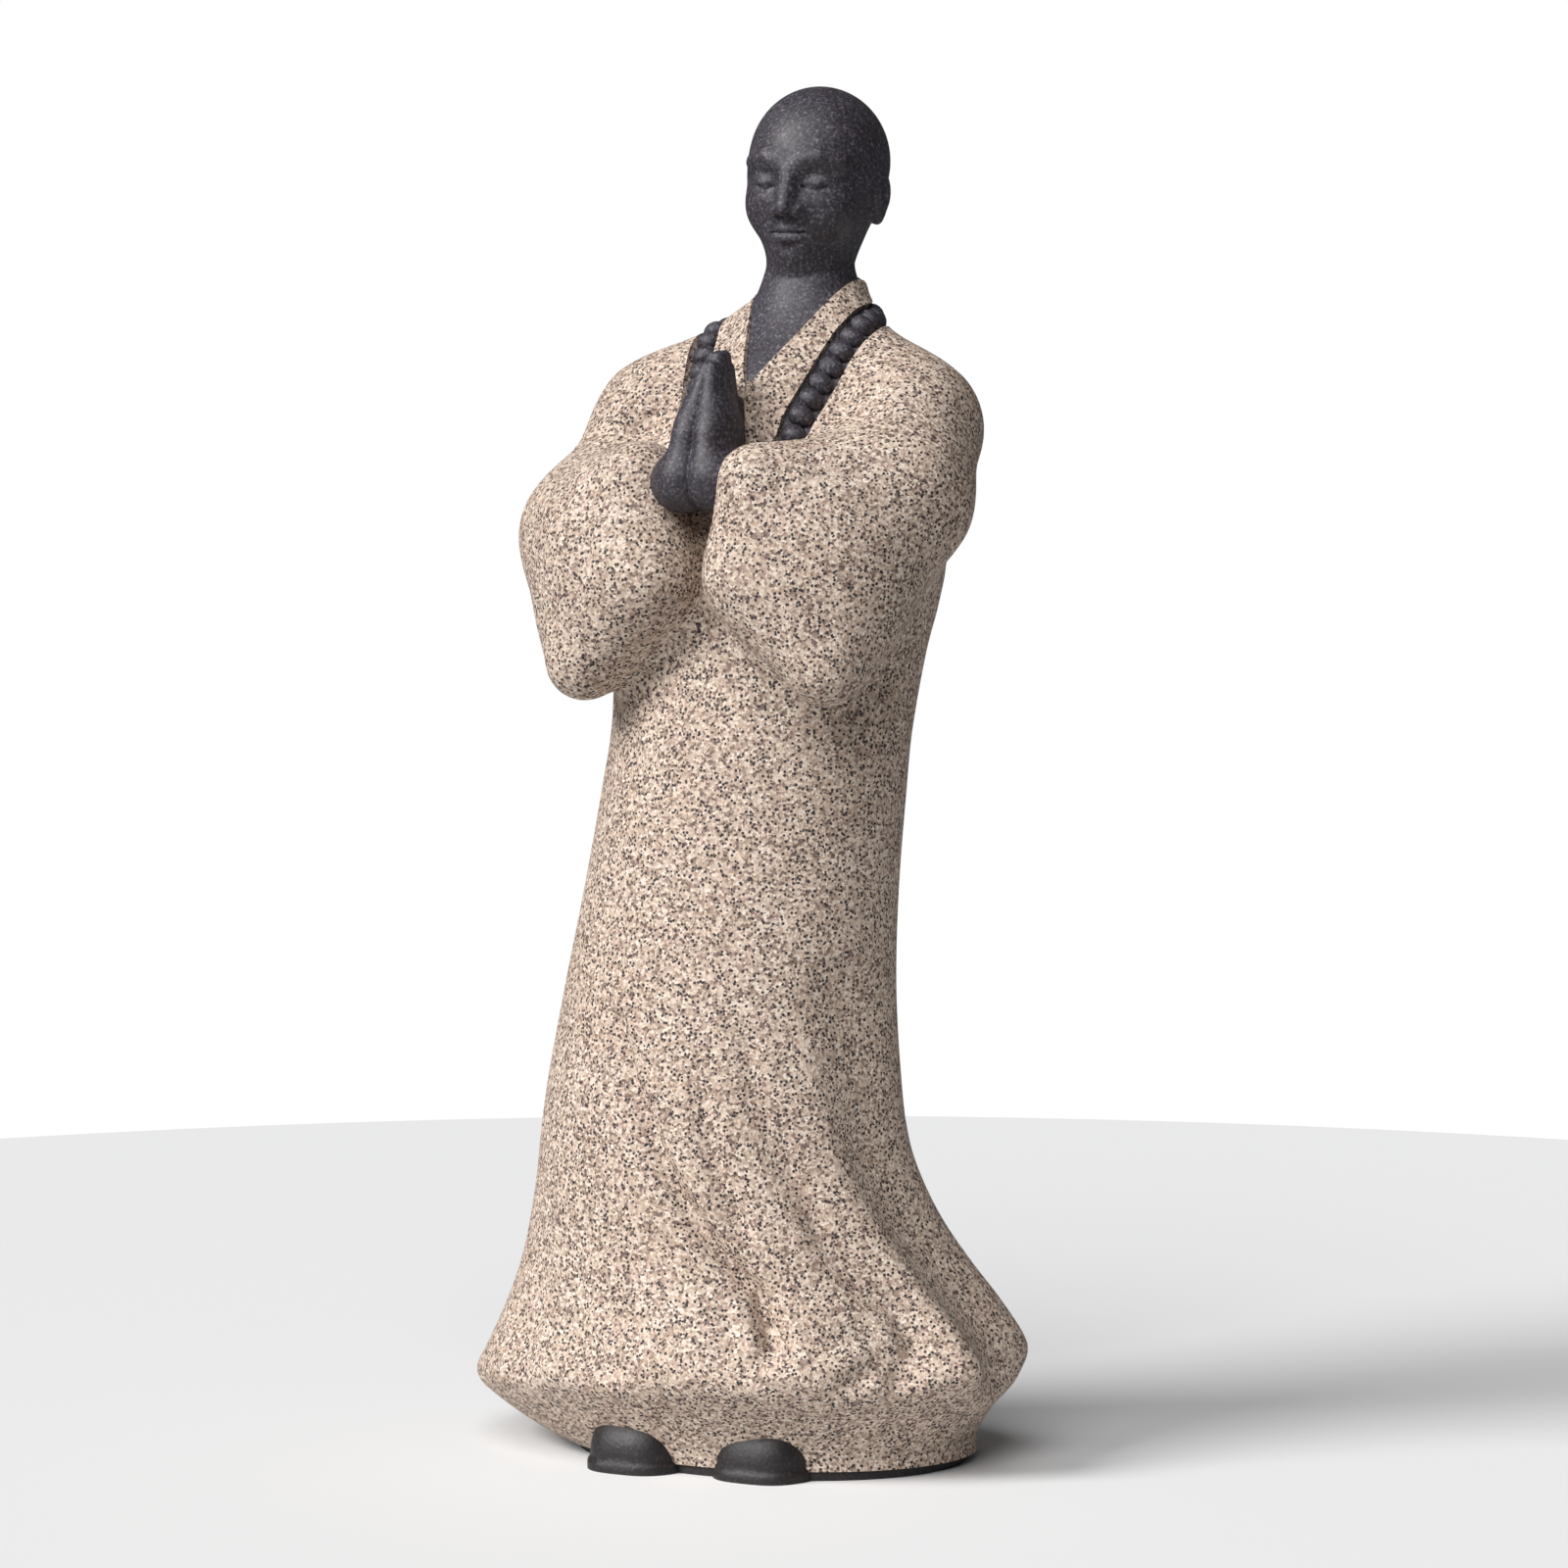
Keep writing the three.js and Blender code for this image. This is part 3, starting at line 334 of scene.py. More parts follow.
# Sleeves: an upper arm, a forearm and the cloth that hangs from it to a rounded point. The right elbow
# hangs lower, and the right cuff is pushed back so that the heel of the hand stands before it.
UPPER_ARM_BLEND = 8
FOREARM_BLEND = 8
ELBOW_BLEND = 7
ARMPIT_BLEND = 5
NECK_SIDE_RADIUS = 8.8
SHOULDER_RADIUS = 11.6
ELBOW_RADIUS = 11
ELBOW_CLOTH_RADIUS = 10.8
CUFF_TOP_RADIUS = 7.6
CUFF_LOW_RADIUS = 7.2
TIP_RADIUS = 6.6
BELLY_RADII = (13.4, 14, 17)


def sleeve_through(neck_side, shoulder, elbow, cuff_top, cuff_low, tip, belly):
    upper = blended(
        [
            limb(neck_side, shoulder, NECK_SIDE_RADIUS, SHOULDER_RADIUS),
            limb(shoulder, elbow, SHOULDER_RADIUS, ELBOW_RADIUS),
        ],
        UPPER_ARM_BLEND,
    )
    lower = blended(
        [
            plate((elbow, cuff_top, cuff_low), (ELBOW_CLOTH_RADIUS, CUFF_TOP_RADIUS, CUFF_LOW_RADIUS)),
            plate((elbow, cuff_low, tip), (ELBOW_CLOTH_RADIUS, CUFF_LOW_RADIUS, TIP_RADIUS)),
            ellipsoid(belly, BELLY_RADII),
        ],
        FOREARM_BLEND,
    )
    return blended([upper, lower], ELBOW_BLEND)


left_sleeve = sleeve_through(
    neck_side=(9, 8.4, 194),
    shoulder=(23.8, 5, 180),
    elbow=(27.8, -7, 168.4),
    cuff_top=(11.4, -25.6, 170.4),
    cuff_low=(10.6, -25.4, 155),
    tip=(23.6, -24.6, 139.8),
    belly=(20.4, -17.4, 156.5),
)
right_sleeve = sleeve_through(
    neck_side=(6.6, 8.4, 193),
    shoulder=(23.2, 5, 180),
    elbow=(29.6, -9.6, 161.2),
    cuff_top=(13, -23, 170.6),
    cuff_low=(10.6, -25, 155),
    tip=(23.6, -24.6, 139.8),
    belly=(21, -17, 156),
)


def sleeves(p):
    """Both sleeves. The right one is drawn at the left and folded over."""
    d = np.empty(p.shape[1])
    left = p[0] > 0
    d[left] = left_sleeve(p[:, left])
    d[~left] = right_sleeve(mirrored(p[:, ~left]))
    return d


# Creases pressed into the cloth at the elbows: points on the cloth, with a half width at each. A crease
# fades out where its half width is below zero.
CREASE_BLEND = 2.6
creases = [
    strand(
        [(27, -1, 191), (25.4, -5.6, 188.4), (23.5, -10.9, 183), (24, -17, 178.6)],
        (-2, -0.4, 0.5, -1.6),
    ),
    strand(
        [(18, -24, 177.4), (23.4, -25.5, 174.1), (28.6, -22.9, 172.7), (34, -19.5, 171.4)],
        (-1.8, 0.2, 0.4, -2),
    ),
    strand(
        [(-14, -7, 186), (-18.6, -8, 182.8), (-22.4, -11, 179.6), (-25.5, -15, 176.6)],
        (-2, 0.2, 0.4, -1.8),
    ),
    strand([(-27.6, -20, 171.5), (-24.4, -25, 169.8), (-18, -29, 168)], (-2, 0, -2)),
]

# The whole robe, with its sleeves above one level and its turned-in hem below another
torso = column(ROBE_FLARE, fold_lift)
tuck = column(ROBE_TUCK)
SLEEVES_FROM = 120
TUCK_TO = 60


def gown(p):
    d = torso(p)
    low = p[2] < TUCK_TO
    high = p[2] >= SLEEVES_FROM
    d[low] = smooth_max(d[low], tuck(p[:, low]), HEM_ROUNDING)
    d[high] = smooth_min(d[high], sleeves(p[:, high]), ARMPIT_BLEND)
    for crease in creases:
        d[high] = smooth_max(d[high], -crease(p[:, high]), CREASE_BLEND)
    return d


# The robe between a level just under the floor and one just over the collar
ROBE_LOW = -2
ROBE_HIGH = 211


def closed_gown(p):
    return np.maximum(gown(p), np.maximum(ROBE_LOW - p[2], p[2] - ROBE_HIGH))


# The neckline: a V down the chest that rises to a standing collar behind the neck
V_POINT = np.array([2.4, -14, 187])
V_STEEPNESS = 1.92
COLLAR_BACK_Y = 17
COLLAR_BACK_Z = 206

# The clay body shows wherever the glaze is cut back: in the neckline and beside the beads
NECK_BASE = (1.2, 5.5, 190)
NECK_TOP = (3, 11, 214)
NECK_RADII = (8.2, 7.4)
CHEST_TOP = 203.5
CHEST_TOP_SLOPE = 0.2
NECK_BLEND = 4
CHEST_LOW = 168
CHEST_FRONT = -24
CHEST_SIDE = 23

neck = limb(NECK_BASE, NECK_TOP, *NECK_RADII)


def chest(p):
    """The body under the glaze, with the neck, as far as the neckline and the beads can show it."""
    top = p[2] - CHEST_TOP - CHEST_TOP_SLOPE * p[1]
    skin = smooth_max(gown(p) + GLAZE_STEP, top, NECK_BLEND)
    form = smooth_min(skin, neck(p), NECK_BLEND)
    return np.maximum.reduce([form, CHEST_LOW - p[2], CHEST_FRONT - p[1], np.abs(p[0]) - CHEST_SIDE])


# The head, drawn about its own centre with the face towards -Y
HEAD_CENTRE = (2.8, 11.4, 223.1)
HEAD_SCALE = 1.06
HEAD_TURN = (4, 2, 5)
HEAD_TO_NECK_BLEND = 2.4

skull = ellipsoid((0, 1.7, 3.6), (11.5, 13.1, 12.4))
jaw = ellipsoid((0, -2.4, -4.6), (8.8, 9.2, 10.4))
chin = ellipsoid((0, -8.3, -11.8), (3.2, 2.8, 2.6))
cheek = ellipsoid((5.4, -7.2, -3.6), (3.3, 3.0, 3.6))
brow = strand([(2.4, -11.2, 4.3), (4.8, -10.7, 4.9), (7.8, -8.6, 3.8)], (0.5, 0.6, 0.4))
nose = limb((0, -11.7, 2.6), (0, -13.8, -3.5), 0.9, 1.35)
nose_wing = ellipsoid((1.7, -12.6, -4.0), (1.0, 1.2, 0.95))
nostril = ellipsoid((0.85, -13.1, -5.0), (0.5, 0.7, 0.4))
eye_socket = ellipsoid((4.4, -13.6, 0.9), (3.1, 2.3, 2.0))
eyelid = ellipsoid((4.3, -9.3, 0.4), (2.6, 2.2, 1.8))
eye_line = strand([(2.0, -11.1, 0.1), (4.3, -11.55, -0.55), (6.6, -10.4, 0.0)], (0.22, 0.26, 0.2))
muzzle = ellipsoid((0, -9.4, -7.8), (4.2, 2.5, 3.2))
upper_lip = strand([(0, -12.0, -7.1), (1.3, -11.9, -6.9), (3.1, -10.9, -7.5)], (0.55, 0.6, 0.3))
lower_lip = strand([(0, -11.8, -8.6), (1.3, -11.6, -8.5), (2.7, -10.9, -8.0)], (0.75, 0.65, 0.3))
mouth_line = strand([(0, -12.6, -7.75), (1.5, -12.3, -7.6), (3.4, -11.1, -7.5)], (0.2, 0.2, 0.16))
lip_hollow = ellipsoid((0, -13.0, -10.2), (2.2, 1.4, 0.8))
ear = ellipsoid((11.0, 1.8, -1.2), (1.4, 2.4, 3.6))
ear_lobe = ellipsoid((10.5, 1.2, -4.8), (1.2, 1.5, 1.8))
ear_hollow = ellipsoid((12.5, 1.0, -0.8), (1.0, 1.1, 1.9))

# The steps that shape the head, each with the reach of its blend
HEAD_STEPS = [
    (ADD, jaw, 6),
    (ADD, chin, 3),
    (ADD, cheek, 3),
    (ADD, muzzle, 2.5),
    (CUT, eye_socket, 2.2),
    (ADD, brow, 3),
    (ADD, blended([nose, nose_wing], 0.8), 2),
    (CUT, nostril, 0.4),
    (ADD, eyelid, 0.7),
    (CUT, eye_line, 0.4),
    (ADD, joined([upper_lip, lower_lip]), 0.7),
    (CUT, mouth_line, 0.4),
    (CUT, lip_hollow, 1.2),
    (ADD, blended([ear, ear_lobe], 1), 0.8),
    (CUT, ear_hollow, 0.5),
]
head = placed(sculpted(skull, HEAD_STEPS), HEAD_CENTRE, HEAD_TURN, HEAD_SCALE)
head_and_neck = blended([head, neck], HEAD_TO_NECK_BLEND)

# One of the two hands pressed together on the plane x = 0, in its own frame: the heel of the palm at
# the origin, the fingers rising along Z, and the thumb on the chest side, towards +Y
HAND_HEEL = (0.3, -26.8, 167.4)
HAND_SCALE = 1.06
HAND_LEAN = -16
FINGER_BLEND = 0.7
SEAM_SETBACK = 0.2

palm = ellipsoid((2.1, 0, 9.5), (3.4, 5.8, 8.8))
palm_heel = ellipsoid((3.0, -0.6, 3.4), (4.2, 5.2, 4.4))
wrist = limb((3.0, -0.5, 3.6), (9, 2.5, 3.6), 4.0, 4.0)
fingers = blended(
    [
        strand([(1.6, 3.4, 11.5), (1, 3.1, 18.5), (0.4, 2.6, 23.4)], (1.9, 1.7, 1.2)),
        strand([(1.7, 1.1, 11.5), (1, 1.1, 19.5), (0.4, 0.9, 24.8)], (1.95, 1.75, 1.25)),
        strand([(1.7, -1.3, 11.5), (1, -1.2, 19), (0.4, -0.9, 24.1)], (1.95, 1.7, 1.2)),
        strand([(1.6, -3.4, 11), (1, -3.1, 17), (0.4, -2.6, 22)], (1.8, 1.6, 1.15)),
    ],
    FINGER_BLEND,
)
thumb = strand([(2, 4.6, 6), (1.7, 6.2, 12), (1.3, 5.6, 18.5)], (1.9, 1.6, 1.2))


def seam(p):
    """The space past the plane where the palms meet. Cut with a blend, it presses in the seam."""
    return p[0] + SEAM_SETBACK


# The steps that shape the hands, each with the reach of its blend
HAND_STEPS = [
    (ADD, palm_heel, 3),
    (ADD, wrist, 2.5),
    (ADD, fingers, 1.6),
    (ADD, thumb, 0.7),
    (CUT, seam, 0.6),
]
hands = placed(sculpted(palm, HAND_STEPS), HAND_HEEL, (HAND_LEAN, 0, 0), HAND_SCALE)

# The shoes: a domed upper on a sole that stands out a little all round
SHOE_MIDDLE_X = -0.8
SHOE_X = 11.6
SHOE_Y = -16.8
SHOE_STAGGER = 1.5
SHOE_HALF_WIDTH = 9.1
SHOE_HALF_LENGTH = 14.8
SHOE_DOME = 9.6
SHOE_DOME_POWER = 2.5
SHOE_LOW = -1
SOLE_ROUNDING = 0.8


def shoes(p):
    across = np.abs(np.abs(p[0] - SHOE_MIDDLE_X) - SHOE_X)
    along = np.abs(p[1] - SHOE_Y - SHOE_STAGGER * np.sign(p[0] - SHOE_MIDDLE_X))

    def plan(rx, ry):
        """An oval a little squarer than an ellipse, 1 on its outline."""
        return np.cbrt((across / rx) ** 3 + (along / ry) ** 3)

    rise = np.maximum(p[2] - SOLE_THICKNESS, 0) / SHOE_DOME
    power = SHOE_DOME_POWER
    dome = (plan(SHOE_HALF_WIDTH, SHOE_HALF_LENGTH) ** power + rise**power) ** (1 / power)
    upper = (dome - 1) * SHOE_HALF_WIDTH
    rim = (plan(SHOE_HALF_WIDTH + SOLE_LIP, SHOE_HALF_LENGTH + SOLE_LIP) - 1) * SHOE_HALF_WIDTH
    sole = smooth_max(rim, p[2] - SOLE_THICKNESS, SOLE_ROUNDING)
    return np.maximum(np.minimum(upper, sole), SHOE_LOW - p[2])


# The bead string: points on the robe at the figure's left, from behind the neck down to the chest
STRING_POINTS = [
    (0, 20, 201.6),
    (6, 18.8, 201.4),
    (11, 16, 200.6),
    (14.2, 11.5, 199.2),
    (14.8, 5.5, 197.2),
    (14.4, 1, 194.3),
    (13.8, -3.6, 191),
    (13.2, -7.2, 187.6),
    (12.6, -9.8, 184.7),
    (12, -12.3, 181.9),
    (11.2, -15.5, 178.2),
    (10, -19, 174),
]
STRING_MIDDLE_X = 0.6
STRING_LOW = (STRING_MIDDLE_X, -20, 171)
STRING_STEPS = 24

# Meshing: a grid is laid over the box, and blocks that the surface can't reach are left out. A block is
# this many cells a side, and fields that don't give true distances are allowed some more reach.
BLOCK = 6
REACH_ALLOWANCE = 1.7
CHUNK = 200_000
SLOPE_STEP = 0.05
LEAST_SLOPE_SQUARED = 0.2


def slope_of(field, p):
    """How a field changes along X, Y and Z at each point."""
    steps = np.eye(3)[:, :, None] * SLOPE_STEP
    return np.stack([field(p + step) - field(p - step) for step in steps]) / (2 * SLOPE_STEP)


def settled(field, p, rounds=2):
    """The points moved onto a field's surface, along the field's slope."""
    for _ in range(rounds):
        d = field(p)
        slope = slope_of(field, p)
        p = p - slope * d / np.maximum((slope * slope).sum(0), LEAST_SLOPE_SQUARED)
    return p


# A cell's eight corners, and its edges and faces by the numbers of their corners
CORNERS = np.array([[corner & 1, corner >> 1 & 1, corner >> 2 & 1] for corner in range(8)])
EDGES = [(corner, corner | 1 << axis) for axis in range(3) for corner in range(8) if not corner >> axis & 1]
FACES = [(0, 2, 6, 4), (1, 3, 7, 5), (0, 1, 5, 4), (2, 3, 7, 6), (0, 1, 3, 2), (4, 5, 7, 6)]


def patches_of(inside):
    """For a set of corners inside the form, which patch of surface each of a cell's 12 edges is in."""
    patch = [edge if inside >> a & 1 != inside >> b & 1 else -1 for edge, (a, b) in enumerate(EDGES)]

    def join(e, f):
        old = patch[f]
        for n, p in enumerate(patch):
            if p == old:
                patch[n] = patch[e]

    for face in FACES:
        around = [EDGES.index(tuple(sorted((face[n], face[(n + 1) % 4])))) for n in range(4)]
        crossed = [edge for edge in around if patch[edge] >= 0]
        if len(crossed) == 2:
            join(*crossed)
        if len(crossed) == 4:
            for n, corner in enumerate(face):
                if inside >> corner & 1:
                    join(around[n], around[n - 1])
    names = sorted(set(patch) - {-1})
    return [names.index(p) if p >= 0 else -1 for p in patch]


# The patches of each cell, by which of its corners are inside
PATCHES = np.array([patches_of(inside) for inside in range(256)])


def in_chunks(work, p):
    """What a function gives for many points, worked out for one chunk of them after another."""
    return np.concatenate([work(p[:, n : n + CHUNK]) for n in range(0, p.shape[1], CHUNK)], axis=-1)


def sampled(field, low, blocks, cell):
    """A field's values on a grid of blocks, and which cells are in blocks that the surface may reach."""
    middles = np.indices(blocks).reshape(3, -1) * BLOCK + BLOCK / 2
    reach = REACH_ALLOWANCE * BLOCK * cell * math.sqrt(3) / 2
    near = (np.abs(field(low + middles * cell)) < reach).reshape(blocks)
    cells = near.repeat(BLOCK, 0).repeat(BLOCK, 1).repeat(BLOCK, 2)
    nodes = np.zeros([n + 1 for n in cells.shape], bool)
    for corner in CORNERS:
        nodes[tuple(slice(c, c + n) for c, n in zip(corner, cells.shape))] |= cells
    values = np.full(nodes.shape, np.inf)
    values[nodes] = in_chunks(field, low + np.stack(np.nonzero(nodes)) * cell)
    return values, cells


def crossed_cells(values, cells):
    """The places of the cells that the surface crosses, their corners' values, and which are inside."""
    at = np.stack(np.nonzero(cells))
    d = np.stack([values[tuple(at + corner[:, None])] for corner in CORNERS])
    codes = ((d < 0) * (1 << np.arange(8))[:, None]).sum(0)
    crossed = (codes > 0) & (codes < 255)
    return at[:, crossed], d[:, crossed], codes[crossed]


def patch_middles(at, d, patch, first):
    """A point in a cell for each patch of surface in it, at the mean of the patch's edge crossings."""
    total = np.zeros((3, first[-1]))
    count = np.zeros(first[-1])
    for edge, (a, b) in enumerate(EDGES):
        on = patch[edge] >= 0
        point = first[:-1][on] + patch[edge][on]
        t = d[a][on] / (d[a][on] - d[b][on])
        crossing = at[:, on] + CORNERS[a][:, None] + (CORNERS[b] - CORNERS[a])[:, None] * t
        for m in range(3):
            total[m] += np.bincount(point, crossing[m], first[-1])
        count += np.bincount(point, minlength=first[-1])
    return total / count


def faces_across_edges(at, codes, first, grid_shape):
    """A face across each grid edge that the surface crosses, wound so that it looks out of the form."""
    place = np.full(grid_shape, -1)
    place[tuple(at)] = np.arange(at.shape[1])
    faces = []
    for m in range(3):
        ends = (codes & 1) != (codes >> (1 << m) & 1)
        u, v = (m + 1) % 3, (m + 2) % 3
        du, dv = (2, 1) if m == 1 else (1, 2)
        ring = []
        for back_u, back_v in ((1, 1), (0, 1), (0, 0), (1, 0)):
            neighbour = at[:, ends].copy()
            neighbour[u] -= back_u
            neighbour[v] -= back_v
            cell_index = place[tuple(neighbour)]
            ring.append(first[cell_index] + PATCHES[codes[cell_index], 4 * m + du * back_u + dv * back_v])
        ring = np.stack(ring, 1)
        outside = (codes[ends] & 1) == 0
        ring[outside] = ring[outside][:, ::-1]
        faces.append(ring)
    return np.concatenate(faces)


def drawn_in(field, points, cell):
    """The points moved onto the surface, by less than half a cell."""
    moved = in_chunks(lambda some: settled(field, some), points)
    near = ((moved - points) ** 2).sum(0) < (cell / 2) ** 2
    return np.where(near, moved, points)


def surface_of(field, low, high, cell):
    """The surface of a field inside a box, as points and four-sided faces."""
    low, high = np.array(low, float)[:, None], np.array(high, float)[:, None]
    blocks = np.ceil((high - low).ravel() / cell / BLOCK).astype(int)
    values, cells = sampled(field, low, blocks, cell)
    at, d, codes = crossed_cells(values, cells)
    patch = PATCHES[codes].T
    first = np.concatenate([[0], np.cumsum(patch.max(0) + 1)])
    points = low + patch_middles(at, d, patch, first) * cell
    return drawn_in(field, points, cell).T, faces_across_edges(at, codes, first, cells.shape)


# Sizes of the grains, dots, fine sand, clouds, grit and stains in the finishes, in millimetres
GRAIN_SIZE = 0.47
DOT_SIZE = 0.74
FINE_SIZE = 0.3
CLOUD_SIZE = 18
GRIT_SIZE = 0.55
STAIN_SIZE = 9


# Materials
def new_material(name, roughness):
    material = bpy.data.materials.new(name)
    material.use_nodes = True
    nodes, links = material.node_tree.nodes, material.node_tree.links
    shader = nodes["Principled BSDF"]
    shader.inputs["Roughness"].default_value = roughness
    return material, nodes, links, shader


def srgb(red, green, blue):
    """A colour given in 0 to 255 display values, in linear light."""
    display = [value / 255 for value in (red, green, blue)]
    linear = [c / 12.92 if c <= 0.04045 else ((c + 0.055) / 1.055) ** 2.4 for c in display]
    return (*linear, 1.0)


def grey(value):
    """A neutral colour in linear light."""
    return (value, value, value, 1.0)


BLACK, WHITE = grey(0.0), grey(1.0)


def ramp(nodes, links, value, stops):
    node = nodes.new("ShaderNodeValToRGB")
    elements = node.color_ramp.elements
    while len(elements) < len(stops):
        elements.new(0.5)
    for element, (position, colour) in zip(elements, stops):
        element.position = position
        element.color = colour
    links.new(value, node.inputs["Fac"])
    return node.outputs["Color"]


def voronoi(nodes, links, coordinates, size_mm):
    node = nodes.new("ShaderNodeTexVoronoi")
    node.inputs["Scale"].default_value = 1 / (size_mm * MM)
    links.new(coordinates, node.inputs["Vector"])
    return node


def noise(nodes, links, coordinates, size_mm, detail=2.0):
    node = nodes.new("ShaderNodeTexNoise")
    node.inputs["Scale"].default_value = 1 / (size_mm * MM)
    node.inputs["Detail"].default_value = detail
    links.new(coordinates, node.inputs["Vector"])
    return node


def channel(nodes, links, colour, name="Red"):
    node = nodes.new("ShaderNodeSeparateColor")
    links.new(colour, node.inputs["Color"])
    return node.outputs[name]


def mixed(nodes, links, factor, a, b, blend="MIX"):
    node = nodes.new("ShaderNodeMix")
    node.data_type = "RGBA"
    node.blend_type = blend
    for socket, value in ((node.inputs["Factor"], factor), (node.inputs["A"], a), (node.inputs["B"], b)):
        if isinstance(value, bpy.types.NodeSocket):
            links.new(value, socket)
        else:
            socket.default_value = value
    return node.outputs["Result"]


def bump(nodes, links, height, distance_mm, strength, normal=None):
    node = nodes.new("ShaderNodeBump")
    node.inputs["Strength"].default_value = strength
    node.inputs["Distance"].default_value = distance_mm * MM
    links.new(height, node.inputs["Height"])
    if normal:
        links.new(normal, node.inputs["Normal"])
    return node.outputs["Normal"]


def sand_glaze():
    """Pinkish sand with cream and near-black grains under a dry matt glaze."""
    material, nodes, links, shader = new_material("sand glaze", roughness=0.78)
    coordinates = nodes.new("ShaderNodeTexCoord").outputs["Object"]
    grains = voronoi(nodes, links, coordinates, GRAIN_SIZE)
    grain_tone = channel(nodes, links, grains.outputs["Color"])
    ground = ramp(nodes, links, grain_tone, [
        (0.0, srgb(98, 82, 75)),
        (0.14, srgb(136, 116, 105)),
        (0.3, srgb(173, 151, 135)),
        (0.55, srgb(198, 178, 161)),
        (0.85, srgb(221, 203, 187)),
        (1.0, srgb(236, 223, 208)),
    ])
    dots = voronoi(nodes, links, coordinates, DOT_SIZE)
    dot_shape = ramp(nodes, links, dots.outputs["Distance"], [(0.3, WHITE), (0.42, BLACK)])
    dot_choice = channel(nodes, links, dots.outputs["Color"], "Green")
    dot_kept = ramp(nodes, links, dot_choice, [(0.34, BLACK), (0.42, WHITE)])
    dot_mask = mixed(nodes, links, 1.0, dot_shape, dot_kept, "MULTIPLY")
    speckled = mixed(nodes, links, channel(nodes, links, dot_mask), ground, srgb(42, 36, 38))
    fine = noise(nodes, links, coordinates, FINE_SIZE, detail=1.0)
    fine_tone = ramp(nodes, links, fine.outputs["Fac"], [(0.3, srgb(190, 186, 184)), (0.7, WHITE)])
    textured = mixed(nodes, links, 0.6, speckled, fine_tone, "MULTIPLY")
    clouds = noise(nodes, links, coordinates, CLOUD_SIZE)
    cloud_tone = ramp(nodes, links, clouds.outputs["Fac"], [(0.3, srgb(240, 234, 230)), (0.7, WHITE)])
    colour = mixed(nodes, links, 0.5, textured, cloud_tone, "MULTIPLY")
    links.new(colour, shader.inputs["Base Color"])
    sand = bump(nodes, links, grains.outputs["Distance"], distance_mm=0.12, strength=0.5)
    rough = bump(nodes, links, fine.outputs["Fac"], distance_mm=0.08, strength=0.4, normal=sand)
    links.new(rough, shader.inputs["Normal"])
    return material


def dark_clay():
    """Unglazed charcoal clay, fired dry, with a fine grit that catches the light, and painted shade that
    makes it darker and browner towards the floor
    """
    material, nodes, links, shader = new_material("dark clay", roughness=0.56)
    coordinates = nodes.new("ShaderNodeTexCoord").outputs["Object"]
    grit = noise(nodes, links, coordinates, GRIT_SIZE, detail=3.0)
    colour = ramp(nodes, links, grit.outputs["Fac"], [
        (0.35, srgb(34, 31, 36)),
        (0.5, srgb(54, 50, 58)),
        (0.6, srgb(72, 67, 76)),
        (0.7, srgb(110, 103, 113)),
    ])
    stains = noise(nodes, links, coordinates, STAIN_SIZE)
    stain_tone = ramp(nodes, links, stains.outputs["Fac"], [(0.35, srgb(226, 218, 216)), (0.65, WHITE)])
    stained = mixed(nodes, links, 0.7, colour, stain_tone, "MULTIPLY")
    place = nodes.new("ShaderNodeSeparateXYZ")
    links.new(coordinates, place.inputs["Vector"])
    # Painted shade: the clay is darker and browner below about 30 mm, standing in for the hem's shade over
    # the shoes
    painted_floor_shade = ramp(nodes, links, place.outputs["Z"], [(0.012, srgb(132, 116, 110)), (0.03, WHITE)])
    links.new(mixed(nodes, links, 1.0, stained, painted_floor_shade, "MULTIPLY"), shader.inputs["Base Color"])
    roughness = ramp(nodes, links, stains.outputs["Fac"], [(0.3, grey(0.5)), (0.7, grey(0.62))])
    links.new(roughness, shader.inputs["Roughness"])
    gritty = bump(nodes, links, grit.outputs["Fac"], distance_mm=0.12, strength=0.7)
    links.new(gritty, shader.inputs["Normal"])
    return material


FINISHES = [sand_glaze(), dark_clay()]
GLAZE, CLAY = 0, 1


def linked(name, data):
    """A new object in the scene."""
    made = bpy.data.objects.new(name, data)
    bpy.context.scene.collection.objects.link(made)
    return made


# Solids in Blender, in millimetres until they are fused
def solid(name, points, faces, finish):
    mesh = bpy.data.meshes.new(name)
    mesh.from_pydata(points, [], faces)
    for material in FINISHES:
        mesh.materials.append(material)
    mesh.polygons.foreach_set("material_index", np.full(len(mesh.polygons), finish))
    return linked(name, mesh)


def solid_of_field(name, field, low, high, cell, finish):
    points, faces = surface_of(field, low, high, cell)
    return solid(name, points.tolist(), faces.tolist(), finish)


def combined(base, other, operation):
    """The base with the other solid added to it or cut from it. The other solid is used up."""
    modifier = base.modifiers.new(operation, "BOOLEAN")
    modifier.operation = operation
    modifier.solver = "MANIFOLD"
    modifier.object = other
    depsgraph = bpy.context.evaluated_depsgraph_get()
    mesh = bpy.data.meshes.new_from_object(base.evaluated_get(depsgraph))
    base.modifiers.remove(modifier)
    base.data = mesh
    bpy.data.objects.remove(other)
    return base


def solid_of_bmesh(name, shape, finish):
    points = [tuple(v.co) for v in shape.verts]
    faces = [[v.index for v in face.verts] for face in shape.faces]
    shape.free()
    return solid(name, points, faces, finish)


def space_below(level):
    """A block under a level, wider than the figure."""
    aside, depth = 200, 100
    low, high = Vector((-aside, -aside, -depth)), Vector((aside, aside, level))
    shape = bmesh.new()
    bmesh.ops.create_cube(shape, size=1.0)
    bmesh.ops.scale(shape, vec=high - low, verts=shape.verts)
    bmesh.ops.translate(shape, vec=(low + high) / 2, verts=shape.verts)
    return solid_of_bmesh("space below", shape, CLAY)


